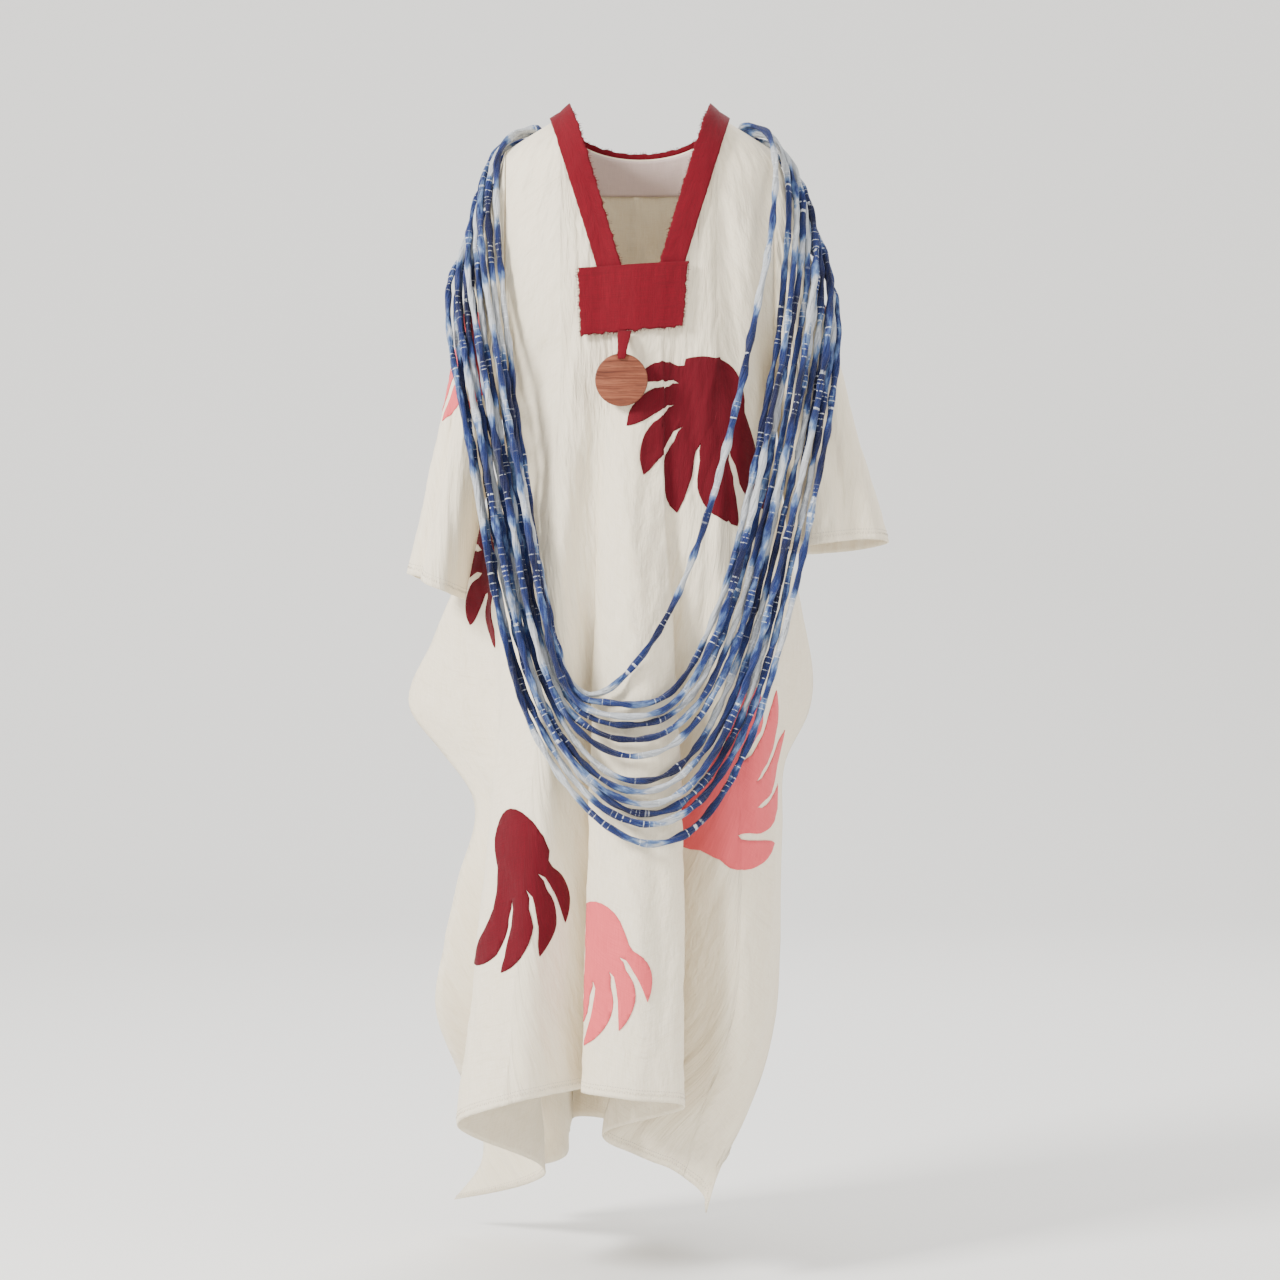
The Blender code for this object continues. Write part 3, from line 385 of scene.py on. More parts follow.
def smooth_line(points, count):
    """A smooth curve through points, as count places a fixed way apart."""
    fine = curve_through(range(len(points)), points, np.linspace(0, len(points) - 1, 12 * len(points)))
    way = way_along(fine)
    return read_along(np.linspace(0, way[-1], count), way, fine), way[-1]


def curve_through(knots, values, at):
    """A smooth curve through values at knots, read at the places in at."""
    knots = np.asarray(knots, float)
    values = np.asarray(values, float)
    at = np.clip(np.asarray(at, float), knots[0], knots[-1])
    slopes = np.gradient(values, knots, axis=0)
    k = np.clip(np.searchsorted(knots, at, side="right") - 1, 0, len(knots) - 2)
    width = knots[k + 1] - knots[k]
    t = (at - knots[k]) / width
    return hermite(t, width, values[k], values[k + 1], slopes[k], slopes[k + 1])


def hermite(t, width, start, end, slope, end_slope):
    pad = (slice(None),) + (None,) * (start.ndim - 1)
    t = t[pad]
    width = width[pad] if np.ndim(width) else width
    return ((2 * t**3 - 3 * t**2 + 1) * start + (t**3 - 2 * t**2 + t) * width * slope
            + (3 * t**2 - 2 * t**3) * end + (t**3 - t**2) * width * end_slope)


# %% Cords
CORD_DIAMETER = 0.009
CORD_SIDES = 12
CORD_RINGS = 330
CORDS = 12
CORD_WAVE = 0.0022
CORD_WAVE_PITCH = 0.055


def cloth_mesh(name, grid, material, closed=False, flip=False, uv=None, thick=0.0):
    """A sheet with its points at grid (row, column), made from a flat grid whose points are moved there."""
    rows, columns = grid.shape[:2]
    sheet = bmesh.new()
    bmesh.ops.create_grid(sheet, x_segments=columns - 1, y_segments=rows - 1, size=0.5)
    layer = sheet.loops.layers.uv.new("UVMap")
    places = {vert: (round((0.5 - vert.co.y) * (rows - 1)), round((vert.co.x + 0.5) * (columns - 1)))
              for vert in sheet.verts}
    if uv is None:
        uv = lengths(grid)
    for face in sheet.faces:
        for loop in face.loops:
            loop[layer].uv = uv[places[loop.vert]]
    for vert, place in places.items():
        vert.co = grid[place]
    if closed:
        bmesh.ops.remove_doubles(sheet, verts=sheet.verts, dist=1e-6)
    if flip:
        bmesh.ops.reverse_faces(sheet, faces=sheet.faces)
    obj = finish_piece(name, sheet, material)
    if thick:
        add_wall(obj, thick)
    return obj


def add_wall(obj, thick):
    wall = obj.modifiers.new("wall", "SOLIDIFY")
    wall.thickness = thick
    wall.offset = 1


def lengths(grid):
    """UV places in the grid's unit: the way across each row from its middle, and the way down each column."""
    u = way_along(grid.swapaxes(0, 1)).T
    u = u - u[:, [grid.shape[1] // 2]]
    return np.stack([u, -way_along(grid)], axis=2)


def finish_piece(name, shape, material):
    mesh = bpy.data.meshes.new(name)
    shape.to_mesh(mesh)
    shape.free()
    mesh.materials.append(material)
    mesh.shade_smooth()
    obj = add_object(name, mesh)
    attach(obj, "root")
    return obj


def cord_mesh(name, line, seed):
    """A rolled strip along a line: flattened, slowly turned and a little uneven, with closed ends."""
    runs = np.gradient(line, axis=0)
    runs /= np.linalg.norm(runs, axis=1)[:, None]
    side = np.cross(runs, (0.0, 1.0, 0.0))
    side /= np.linalg.norm(side, axis=1)[:, None]
    lift = np.cross(side, runs)
    step = np.linalg.norm(line[1] - line[0])
    angles = np.radians(np.linspace(0, 360, CORD_SIDES + 1))
    grid, uv = [], []
    for k, point in enumerate(line):
        along = k * step
        turn = 1.6 * noise.noise((along * 3.1, seed, 0.0)) + along * 5
        size = CORD_DIAMETER / 2 * (1 + 0.34 * noise.noise((along * 42, seed, 4.0)))
        if k in (0, len(line) - 1):
            size *= 0.05
        flat = 0.86 + 0.10 * noise.noise((along * 9, seed, 9.0))
        fold = 0.16 * np.cos(2 * angles + along * 130 + turn) + 0.09 * np.cos(3 * angles - along * 75)
        a = size * (1 + fold) * np.cos(angles)
        b = size * flat * (1 + fold) * np.sin(angles)
        right = a * np.cos(turn) - b * np.sin(turn)
        up = a * np.sin(turn) + b * np.cos(turn)
        grid.append(point + right[:, None] * side[k] + up[:, None] * lift[k])
        uv.append([(along + seed * 3.37, j / CORD_SIDES) for j in range(CORD_SIDES + 1)])
    return cloth_mesh(name, np.array(grid), indigo, closed=True, flip=True, uv=np.array(uv))


total = 0.0
for index in range(CORDS):
    node = f"strand_{index + 1:02d}"
    line, length = smooth_line(ring_middles(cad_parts[node]), CORD_RINGS)
    wavy = line.copy()
    for k in range(len(line)):
        wavy[k, 0] += CORD_WAVE * noise.noise((index * 5.1, k * CORD_WAVE_PITCH, 0.0))
        wavy[k, 2] += CORD_WAVE * noise.noise((index * 5.1, k * CORD_WAVE_PITCH, 7.0))
    piece = cord_mesh(f"cord_{index + 1:02d}", wavy, index + 1.0)
    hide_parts(node)
    total += length
print("cords:", CORDS, "of", round(total / CORDS, 3), "m on average")


# %% [markdown]
# ## The cut of the panels
# The front and the back are each one wide length of cloth. Both are laid out by fold lines that run from
# the shoulder to the hem: each line is a table of x and y at a few heights, and a smooth curve joins the
# lines across. The same tables made the solids, so the cloth lies where they lie. Here the grid is finer,
# and each crease that the solids leave out is pressed into it afterwards.

# %% Fold tables
# Heights at which the fold tables give each fold line
DROPS = (100, 200, 320, 450, 620, 770, 880, 1030, 1200, 1330, 1450)

# Each fold line of the front from the left seam to the right one: (x, y) at each of DROPS, hem drop
FRONT_FOLDS = {
    "left tuck": (((-166, -62), (-168, -80), (-172, -64), (-184, -22), (-205, -5), (-205, -15),
                   (-172, -60), (-165, -40), (-150, -10), (-135, 45), (-130, 60)), 1428),
    "left roll edge": (((-148, -78), (-150, -97), (-155, -88), (-172, -72), (-185, -75), (-184, -95),
                        (-194, -115), (-208, -120), (-226, -120), (-239, -130), (-240, -132)), 1334),
    "left roll": (((-95, -98), (-95, -119), (-97, -130), (-103, -146), (-113, -168), (-118, -183),
                   (-128, -195), (-141, -205), (-154, -215), (-165, -225), (-168, -228)), 1285),
    "middle valley": (((-50, -104), (-50, -123), (-52, -134), (-57, -139), (-62, -143), (-62, -146),
                       (-60, -146), (-56, -145), (-54, -143), (-50, -140), (-50, -140)), 1277),
    "middle roll edge": (((-30, -107), (-32, -126), (-36, -137), (-46, -146), (-54, -156), (-60, -166),
                          (-64, -176), (-68, -186), (-73, -194), (-75, -198), (-75, -198)), 1276),
    "middle roll": (((-2, -108), (-4, -128), (-6, -143), (-10, -164), (-10, -184), (-5, -199),
                     (-3, -210), (-4, -221), (-6, -231), (-6, -236), (-6, -236)), 1280),
    "right overlap": (((22, -106), (22, -127), (25, -139), (28, -152), (37, -162), (48, -168),
                       (53, -178), (56, -188), (58, -196), (60, -202), (60, -202)), 1295),
    "right tuck": (((38, -105), (38, -125), (37, -136), (37, -142), (42, -140), (40, -125),
                    (34, -112), (20, -100), (0, -88), (-45, -62), (-58, -50)), 1358),
    "right panel": (((88, -99), (88, -117), (90, -130), (95, -140), (108, -146), (115, -145),
                     (115, -148), (115, -152), (102, -150), (60, -135), (30, -120)), 1392),
    "right roll": (((145, -78), (142, -98), (145, -104), (152, -100), (155, -100), (168, -105),
                    (168, -115), (170, -118), (155, -135), (115, -150), (70, -145)), 1420),
}

BACK_FOLDS = {
    "left side roll": (((-130, 66), (-135, 82), (-138, 88), (-150, 78), (-200, 96), (-235, 110),
                        (-205, 120), (-215, 120), (-235, 130), (-205, 185), (-180, 215)), 1455),
    "left valley": (((-88, 82), (-90, 98), (-92, 104), (-98, 112), (-120, 118), (-140, 120),
                     (-130, 122), (-125, 128), (-115, 140), (-108, 156), (-108, 165)), 1432),
    "left back roll": (((-45, 90), (-45, 104), (-46, 112), (-50, 122), (-62, 142), (-72, 160),
                        (-76, 176), (-84, 196), (-92, 220), (-96, 240), (-96, 245)), 1392),
    "centre back": (((0, 92), (0, 104), (0, 110), (0, 114), (0, 120), (-5, 126),
                     (-8, 132), (-12, 140), (-18, 150), (-22, 160), (-22, 165)), 1380),
    "right back roll": (((45, 90), (45, 104), (46, 112), (50, 122), (62, 142), (66, 160),
                         (68, 174), (70, 192), (72, 210), (72, 222), (72, 225)), 1400),
    "right valley": (((88, 82), (90, 98), (92, 104), (98, 110), (112, 116), (118, 122),
                      (122, 124), (124, 130), (122, 138), (108, 146), (100, 150)), 1405),
    "right side roll": (((130, 66), (135, 82), (138, 88), (148, 78), (165, 100), (180, 108),
                         (180, 112), (178, 118), (165, 120), (138, 125), (120, 130)), 1415),
}

# The armhole's two edges: drop, y of the front's edge, y of the back's
ARMHOLE = ((100, -51, 36), (200, -70, 48), (320, -54, 38), (380, 0, 0))

# The side seams below the underarm, down to the slits: drop, x, y
LEFT_SEAM = ((450, -180, 15), (530, -208, 42), (620, -246, 55), (700, -280, 62), (800, -311, 66),
             (850, -272, 58), (906, -228, 32), (1030, -246, 18), (1100, -262, 20))
RIGHT_SEAM = ((450, 182, 15), (530, 193, 36), (600, 205, 46), (660, 218, 53), (800, 228, 60),
              (862, 196, 30), (950, 190, 0), (1030, 187, -20), (1100, 186, -40))

# The free edges of the front and the back below the slits: drop, x, y
FRONT_LEFT_EDGE = ((1200, -277, 30), (1290, -250, 70), (1360, -225, 130), (1440, -222, 160),
                   (1500, -262, 205))
FRONT_RIGHT_EDGE = ((1200, 178, -70), (1260, 163, -95), (1320, 138, -125), (1400, 99, -150),
                    (1442, 87, -152))
BACK_LEFT_EDGE = ((1200, -272, 44), (1290, -242, 114), (1360, -214, 165), (1430, -192, 205),
                  (1445, -190, 208))
BACK_RIGHT_EDGE = ((1200, 168, 15), (1290, 145, 58), (1360, 125, 80), (1420, 112, 92), (1430, 110, 94))


# %% Smooth panels
WALL = 1.8
GAP = 0.3
SHOULDER_HALF_WIDTH = 176
SHOULDER_DROP = 48
NECK_HALF_WIDTH = 102
NECK_DROP = 2
ROLL_DROP = 100
UNDERARM_DROP = 380
V_DROPS = (2, 208, 250, 275)
V_HALF_WIDTHS = (102, 38, 22, 0.5)
BACK_NECK_DROP = 50
SLIT_DROP = 1100
SEAM_SHARE = 0.8
ROW_CROWDING = 1.5
FRONT_CELLS, FRONT_ROWS = 132, 200
BACK_CELLS, BACK_ROWS = 112, 160


def edge_points(stretches, drops):
    """Points of a panel's edge, whose stretches meet in corners."""
    points = np.zeros((len(drops), 2))
    for stretch in stretches:
        rows = np.array(stretch, float)
        here = drops >= rows[0, 0] - 1e-6
        points[here] = curve_through(rows[:, 0], rows[:, 1:], drops[here])
    return points


def shoulder_drop(x):
    """How far below the origin the shoulder line runs at x."""
    beyond = np.abs(x) - NECK_HALF_WIDTH
    slope = (SHOULDER_DROP - NECK_DROP) / (SHOULDER_HALF_WIDTH - NECK_HALF_WIDTH)
    return np.where(beyond > 0, NECK_DROP + slope * beyond, NECK_DROP + beyond)


class Panel:
    """The front or the back as a smooth surface of fold positions and drops."""

    def __init__(self, folds, edges, side, cells, rows):
        self.side = side
        self.edges = edges
        self.rows = rows
        self.folds = np.array([points for points, _ in folds.values()], float)
        hems = [edges[0][-1][-1][0]] + [hem for _, hem in folds.values()] + [edges[1][-1][-1][0]]
        self.spans = len(folds) + 1
        self.across = np.linspace(0, self.spans, cells + 1)
        self.hems = curve_through(np.arange(self.spans + 1), hems, self.across)
        self.tops = np.array([self.top_of(u) for u in self.across])

    def below_roll(self, across, drops):
        """x and y for pairs of fold position and drop."""
        across, drops = np.broadcast_arrays(np.atleast_1d(across).astype(float), drops)
        left, right = (edge_points(edge, drops) for edge in self.edges)
        lines = np.array([left] + [curve_through(DROPS, fold, drops) for fold in self.folds] + [right])
        slopes = np.gradient(lines, axis=0)
        k = np.clip(across.astype(int), 0, self.spans - 1)
        n = np.arange(len(drops))
        return hermite(across - k, 1.0, lines[k, n], lines[k + 1, n], slopes[k, n], slopes[k + 1, n])

    def at(self, across, drops):
        """Points of the cloth's inner face. Above the roll it bends back to the shoulder seam."""
        drops = np.atleast_1d(np.asarray(drops, float))
        flat = self.below_roll(across, np.maximum(drops, ROLL_DROP))
        x = flat[:, 0]
        top = np.minimum(shoulder_drop(x), SHOULDER_DROP)
        rise = np.clip((ROLL_DROP - drops) / (ROLL_DROP - top), 0, 1)
        seam = self.side * GAP / 2
        y = seam + (flat[:, 1] - seam) * np.sqrt(1 - rise**2)
        return np.stack([x, y, -drops], axis=1)

    def top_of(self, u):
        """Where the cloth starts on fold position u: on the shoulder line or on the neck's cut edge."""
        x = abs(self.below_roll(u, np.array([ROLL_DROP]))[0, 0])
        if x >= NECK_HALF_WIDTH:
            return float(shoulder_drop(x))
        if self.side > 0:
            return NECK_DROP + (BACK_NECK_DROP - NECK_DROP) * math.sqrt(1 - (x / NECK_HALF_WIDTH) ** 2)
        drops = np.linspace(V_DROPS[0], V_DROPS[-1], 400)
        xs = np.abs(self.below_roll(u, np.maximum(drops, ROLL_DROP))[:, 0])
        outside = xs >= np.interp(drops, V_DROPS, V_HALF_WIDTHS)
        return float(drops[outside][0]) if outside.any() else V_DROPS[-1]

    def grid(self):
        """Every point of the panel, as (row, column, place)."""
        share = np.linspace(0, 1, self.rows + 1)[:, None]
        upper = self.tops + (SLIT_DROP - self.tops) * np.clip(share / SEAM_SHARE, 0, 1) ** ROW_CROWDING
        drops = upper + (self.hems - SLIT_DROP) * np.clip((share - SEAM_SHARE) / (1 - SEAM_SHARE), 0, 1)
        across = np.broadcast_to(self.across, drops.shape)
        points = self.at(across.ravel(), drops.ravel()).reshape(*drops.shape, 3)
        points[:, (0, -1), 1] += self.side * GAP
        return points


def edges_of(armhole_column, free_left, free_right):
    """Both edges of a panel, each as armhole, side seam and slit."""
    both = []
    for side, seam, free in ((-1, LEFT_SEAM, free_left), (1, RIGHT_SEAM, free_right)):
        x = side * SHOULDER_HALF_WIDTH
        armhole = tuple((row[0], x, row[armhole_column]) for row in ARMHOLE)
        seam = (armhole[-1],) + seam
        both.append((armhole, seam, (seam[-1],) + free))
    return both


front = Panel(FRONT_FOLDS, edges_of(1, FRONT_LEFT_EDGE, FRONT_RIGHT_EDGE), -1, FRONT_CELLS, FRONT_ROWS)
back = Panel(BACK_FOLDS, edges_of(2, BACK_LEFT_EDGE, BACK_RIGHT_EDGE), 1, BACK_CELLS, BACK_ROWS)
print("front hem from", round(front.hems.min()), "to", round(front.hems.max()), "mm below the neck")

# %% [markdown]
# Hand-woven cotton never hangs smooth. Two sizes of crinkle are pressed inwards from the smooth surface,
# larger ones that run down the cloth and small round ones, and the few sharp creases of the photograph
# are added as straight valleys. Nothing moves outwards, so the cords still clear the cloth. At the seams
# the crinkle fades to nothing, because there the pieces meet.

# %% Crinkle and creases
# Each crease: x and drop of both ends, width and depth
FRONT_CREASES = (
    (-84, 250, -152, 530, 17, 9.0),
    (-123, 290, -160, 490, 13, 6.5),
    (-60, 420, -104, 700, 18, 6.0),
    (168, 60, 170, 385, 13, 7.0),
    (112, 120, 118, 420, 22, 6.0),
    (47, 285, 84, 560, 15, 6.0),
    (4, 400, 12, 660, 20, 5.0),
    (92, 580, 66, 830, 15, 6.0),
    (-176, 640, -214, 900, 18, 7.0),
    (-96, 760, -88, 1010, 18, 5.0),
    (138, 700, 132, 960, 14, 6.0),
    (20, 900, 34, 1200, 16, 5.0),
    (-180, 960, -170, 1290, 20, 6.0),
    (96, 980, 74, 1330, 18, 6.0),
)
BACK_CREASES = (
    (-6, 60, -6, 215, 5, 2.5),
    (-70, 130, -110, 420, 16, 4.0),
    (60, 140, 96, 460, 16, 4.0),
    (30, 520, 44, 900, 18, 4.0),
)


TOP_FADE_ROWS = 12


def outward_of(grid, side):
    """Unit normals of a grid that point out of the garment."""
    normal = np.cross(np.gradient(grid, axis=0), np.gradient(grid, axis=1)) * side
    return normal / np.maximum(np.linalg.norm(normal, axis=2)[:, :, None], 1e-9)


def valley(x, drop, crease):
    """How deep one crease is at each place: a smooth notch that fades at both ends."""
    x0, d0, x1, d1, width, depth = crease
    along = ((x - x0) * (x1 - x0) + (drop - d0) * (d1 - d0)) / ((x1 - x0) ** 2 + (d1 - d0) ** 2)
    away = np.hypot(x - x0 - along * (x1 - x0), drop - d0 - along * (d1 - d0))
    fade = np.clip(np.minimum(along, 1 - along) * 5, 0, 1)
    return depth * fade * (3 - 2 * fade) * fade * np.exp(-((away / width) ** 2))


def crinkle(grid, seed, large=3.2, small=1.2):
    """Depth of the crinkle at each place of a grid, from 0 to about large + small."""
    uv = lengths(grid)
    depth = np.zeros(grid.shape[:2])
    for place in np.ndindex(*depth.shape):
        u, v = uv[place]
        broad = noise.fractal((u * 0.021, v * 0.007, seed), 1.0, 2.0, 2)
        tight = noise.fractal((u * 0.075, v * 0.045, seed + 5), 1.0, 2.0, 2)
        depth[place] = large * (0.5 + broad) + small * (0.5 + tight)
    return np.clip(depth, 0, None)


def pressed(grid, side, seed, creases=(), fade=8):
    """The grid with crinkle and creases pressed inwards, fading at the seams."""
    rows, columns = grid.shape[:2]
    depth = crinkle(grid, seed)
    for crease in creases:
        depth += valley(grid[:, :, 0], -grid[:, :, 2], crease)
    column = np.arange(columns)
    still = np.clip(np.minimum(column, columns - 1 - column) / fade, 0, 1)[None, :]
    still = still * np.clip(np.arange(rows) / TOP_FADE_ROWS, 0, 1)[:, None]
    return grid - outward_of(grid, side) * (depth * still)[:, :, None]


front_grid = pressed(front.grid(), 1, 1.0, FRONT_CREASES)
back_grid = pressed(back.grid(), -1, 11.0, BACK_CREASES)

# %% [markdown]
# For each piece the solid it stands for is hidden and its cut is printed: the width and length of the cloth
# before it was worn, and the area that was cut out of it. The width is the longest row of the grid, the
# length its longest column.

# %% Front and back
def declare_cut(obj, node, cut, area):
    """Hides the solid that a cloth piece stands for and prints the piece's cut in metres."""
    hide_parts(node)
    print(obj.name, "cut", round(cut[0], 3), "by", round(cut[1], 3), "m, area", round(area, 4), "m2")


def declare(obj, grid, node):
    """Finds the cut of a cloth piece that covers a whole grid, then hides its solid and prints the cut."""
    metres = grid * MM
    cut = (float(way_along(metres.swapaxes(0, 1))[-1].max()), float(way_along(metres)[-1].max()))
    cell = np.cross(metres[1:, :-1] - metres[:-1, :-1], metres[:-1, 1:] - metres[:-1, :-1])
    declare_cut(obj, node, cut, float(np.linalg.norm(cell, axis=2).sum()))


front_cloth = cloth_mesh("front_cloth", front_grid * MM, ecru, thick=WALL * MM)
back_cloth = cloth_mesh("back_cloth", back_grid * MM, ecru, thick=WALL * MM, flip=True)
declare(front_cloth, front_grid, "front_panel")
declare(back_cloth, back_grid, "back_panel")

# %% [markdown]
# ## Sleeves
# A sleeve is a straight tube. It starts on the armhole, which is the edge of the front and of the back, and
# ends in a loop that hangs open. Between them it bulges at the top and falls into long folds.

# %% Sleeves
# Each cuff: its side, x, y and drop of its middle, half widths across and through, and how much its rim
# falls towards the body and backwards
CUFFS = {
    "sleeve_left": (-1, -272, -50, 626, 38, 62, 0.45, 0.02),
    "sleeve_right": (1, 264, -52, 574, 66, 62, 0.10, 0.14),
}
# Folds along each sleeve: angle round the arm from its top, past the front; depth at the cuff; half width
SLEEVE_FOLDS = {
    "sleeve_left": ((48, -14, 16), (100, 9, 30), (232, -10, 20), (300, 8, 24)),
    "sleeve_right": ((70, -13, 17), (122, 8, 26), (215, -12, 20), (262, 9, 24)),
}
SLEEVE_HALF = 48
SLEEVE_ROWS = 90
SHOULDER_BULGE = 9
# Brings the peak of the bulge's curve, s (1 - s)^3, to about 1
BULGE_PEAK = 9.6
ARMHOLE_GAP = 1.3
UNDERARM_CLEARANCE = 4.0


def armhole(side):
    """The armhole as a ring: from the shoulder down the front's edge and up the back's."""
    turn = np.radians(np.linspace(0, 180, SLEEVE_HALF + 1))
    drops = (SHOULDER_DROP + UNDERARM_DROP) / 2 - (UNDERARM_DROP - SHOULDER_DROP) / 2 * np.cos(turn)
    down = front.at(0 if side < 0 else front.spans, drops)
    up = back.at(0 if side < 0 else back.spans, drops)[::-1]
    ring = np.vstack([down, up[1:-1]])
    ring[0, 1] = ring[SLEEVE_HALF, 1] = 0
    angle = np.linspace(0, 360, 2 * SLEEVE_HALF, endpoint=False)
    ring[:, 0] += side * (ARMHOLE_GAP + UNDERARM_CLEARANCE * (1 - np.cos(np.radians(angle))) / 2)
    return ring, angle


def sleeve_grid(name):
    """A straight sleeve: ruled from the armhole to the cuff, then bulged and folded."""
    side, cuff_x, cuff_y, cuff_drop, half_x, half_y, fall_x, fall_y = CUFFS[name]
    ring, angle = armhole(side)
    turn = np.radians(angle)
    x = cuff_x + side * half_x * np.cos(turn)
    y = cuff_y - half_y * np.sin(turn)
    drop = cuff_drop + fall_x * -side * (x - cuff_x) + fall_y * (y - cuff_y)
    end = np.stack([x, y, -drop], axis=1)
    outward = np.stack([side * np.cos(turn), -np.sin(turn), 0 * turn], axis=1)
    grid = []
    for s in np.linspace(0, 1, SLEEVE_ROWS + 1):
        points = ring + (end - ring) * s
        bulge = SHOULDER_BULGE * BULGE_PEAK * s * (1 - s) ** 3
        points = points + outward * np.clip(np.cos(turn), 0, 1)[:, None] * bulge
        for at, depth, width in SLEEVE_FOLDS[name]:
            away = (angle - at + 180) % 360 - 180
            points = points + outward * (depth * s * np.exp(-((away / width) ** 2)))[:, None]
        grid.append(points)
    # The grid starts at the underarm, where the seam of the sleeve is
    grid = np.roll(np.array(grid), SLEEVE_HALF, axis=1)
    return np.concatenate([grid, grid[:, :1]], axis=1)


def closed_crinkle(grid, side, seed):
    """Crinkle that is the same on both sides of the sleeve's seam and fades at the armhole."""
    folded = pressed(grid, side, seed, fade=14)
    folded[:, -1] = folded[:, 0]
    return folded


SLEEVE_SEED = 21.0
sleeve_sides = {name: cuff[0] for name, cuff in CUFFS.items()}
sleeve_grids = {name: closed_crinkle(sleeve_grid(name), -side, SLEEVE_SEED + side)
                for name, side in sleeve_sides.items()}
for name, grid in sleeve_grids.items():
    sleeve = cloth_mesh(name + "_cloth", grid * MM, ecru, closed=True, thick=WALL * MM,
                        flip=sleeve_sides[name] > 0)
    declare(sleeve, grid, name)


# %% [markdown]
# ## Bands, patch, tab and disc
# The V is edged with crimson bands whose inner edge is torn, not turned: short threads stand out of it. The
# patch below the V is torn on three sides as well. These pieces are laid on the panels by x and drop, and
# each is lifted along the cloth's normal, so that it follows the chest.

# %% Places on a panel
class Surface:
    """A panel read by how it looks from the front or the back: x and drop."""

    STEP = 4.0

    def __init__(self, panel):
        self.panel = panel
        self.across = np.linspace(0, panel.spans, 12 * panel.spans + 1)
        drops = np.arange(ROLL_DROP, 440, self.STEP)
        self.xs = np.array([panel.below_roll(self.across, np.array([drop]))[:, 0] for drop in drops])

    def at(self, x, drop):
        row = np.clip((drop - ROLL_DROP) / self.STEP, 0, len(self.xs) - 2)
        k = row.astype(int)
        lines = self.xs[k] + (self.xs[k + 1] - self.xs[k]) * (row - k)[:, None]
        across = np.array([np.interp(place, line, self.across) for place, line in zip(x, lines)])
        return self.panel.at(across, drop)

    def lifted(self, x, drop, height):
        """Points that height above the cloth's inner face. x, drop and height are grids of one shape."""
        shape = np.shape(x)
        x, drop = np.ravel(x).astype(float), np.ravel(drop).astype(float)
        top = np.maximum(drop - 2, shoulder_drop(x))
        right = self.at(x + 2, drop) - self.at(x - 2, drop)
        down = self.at(x, np.maximum(drop, top) + 2) - self.at(x, top)
        normal = np.cross(down, right) * -self.panel.side
        normal /= np.linalg.norm(normal, axis=1)[:, None]
        height = np.broadcast_to(height, shape).ravel()[:, None]
        return (self.at(x, drop) + normal * height).reshape(*shape, 3)


on_front = Surface(front)
on_back = Surface(back)


def blend(a, b, share):
    """Points from a at share 0 to b at share 1, for a grid of shares."""
    share = np.asarray(share, float)[..., None]
    return np.asarray(a, float) * (1 - share) + np.asarray(b, float) * share


def wobble(at, seed, size):
    """An uneven line, as a torn edge has."""
    waves = [noise.fractal((value * 0.11, seed, 0.0), 1.0, 2.0, 3) for value in np.ravel(at)]
    return size * np.array(waves).reshape(np.shape(at))


# %% [markdown]
# A torn edge is a row of threads. Each is a thin three-sided cone that leaves the edge at its own angle.

# %% Torn threads
FRAY_ROOT, FRAY_TIP = 0.32, 0.12


def torn_threads(name, edges, material, per_mm=0.9, longest=6.5):
    """Threads along torn edges. Each edge is a row of places in millimetres and a direction out of it."""
    shape = bmesh.new()
    for places, out in edges:
        way = way_along(places)
        for _ in range(int(way[-1] * per_mm)):
            at = random.uniform(0, way[-1])
            start = Vector([np.interp(at, way, places[:, k]) for k in range(3)])
            stray = [random.gauss(0, 0.55), random.gauss(-0.12, 0.25), random.gauss(0, 0.55)]
            aim = Vector(out) + Vector(stray)
            length = random.uniform(1.5, longest) * random.uniform(0.5, 1)
            turned = aim.to_track_quat("Z", "Y").to_matrix().to_4x4()
            turned.translation = (start + aim.normalized() * (length / 2 - 0.6)) * MM
            bmesh.ops.create_cone(shape, segments=3, radius1=FRAY_ROOT * MM, radius2=FRAY_TIP * MM,
                                  depth=length * MM, matrix=turned)
    obj = finish_piece(name, shape, material)
    return obj


# %% Neck bands
BAND_WALL = 1.6
BAND_LIFT = 3.8
BAND_TOP_LIFT = 2.6
BAND_TOP_REACH = 45
BAND_OUTER = ((116, 12), (55, 214))
BAND_INNER = ((88, -8), (22, 214))
BAND_END_DROP = 232
BAND_ROWS, BAND_COLUMNS = 120, 13


def neck_band(side):
    """One side of the V: a straight strip whose outer half lies on the front, with a torn inner edge."""
    stretch = (BAND_END_DROP - BAND_OUTER[0][1]) / (BAND_OUTER[1][1] - BAND_OUTER[0][1])
    share = np.linspace(0, stretch, BAND_ROWS)
    outer = blend(*BAND_OUTER, share)
    inner = blend(*BAND_INNER, share)
    inner[:, 0] += wobble(inner[:, 1], side * 3.0, 2.4)
    outer[:, 0] += wobble(outer[:, 1], side * 3.0 + 9, 0.8)
    width = np.linspace(0, 1, BAND_COLUMNS)
    spread = blend(outer[:, None], inner[:, None], np.broadcast_to(width, (BAND_ROWS, BAND_COLUMNS)))
    lift = BAND_LIFT + BAND_TOP_LIFT * np.exp(-((np.maximum(outer[:, 1], 0) / BAND_TOP_REACH) ** 2))
    pucker = 0.5 * np.array([[noise.noise((k * 0.17, w * 2.0, side)) for w in width]
                             for k in range(BAND_ROWS)])
    x = side * spread[:, :, 0]
    return on_front.lifted(x, spread[:, :, 1], lift[:, None] + pucker)


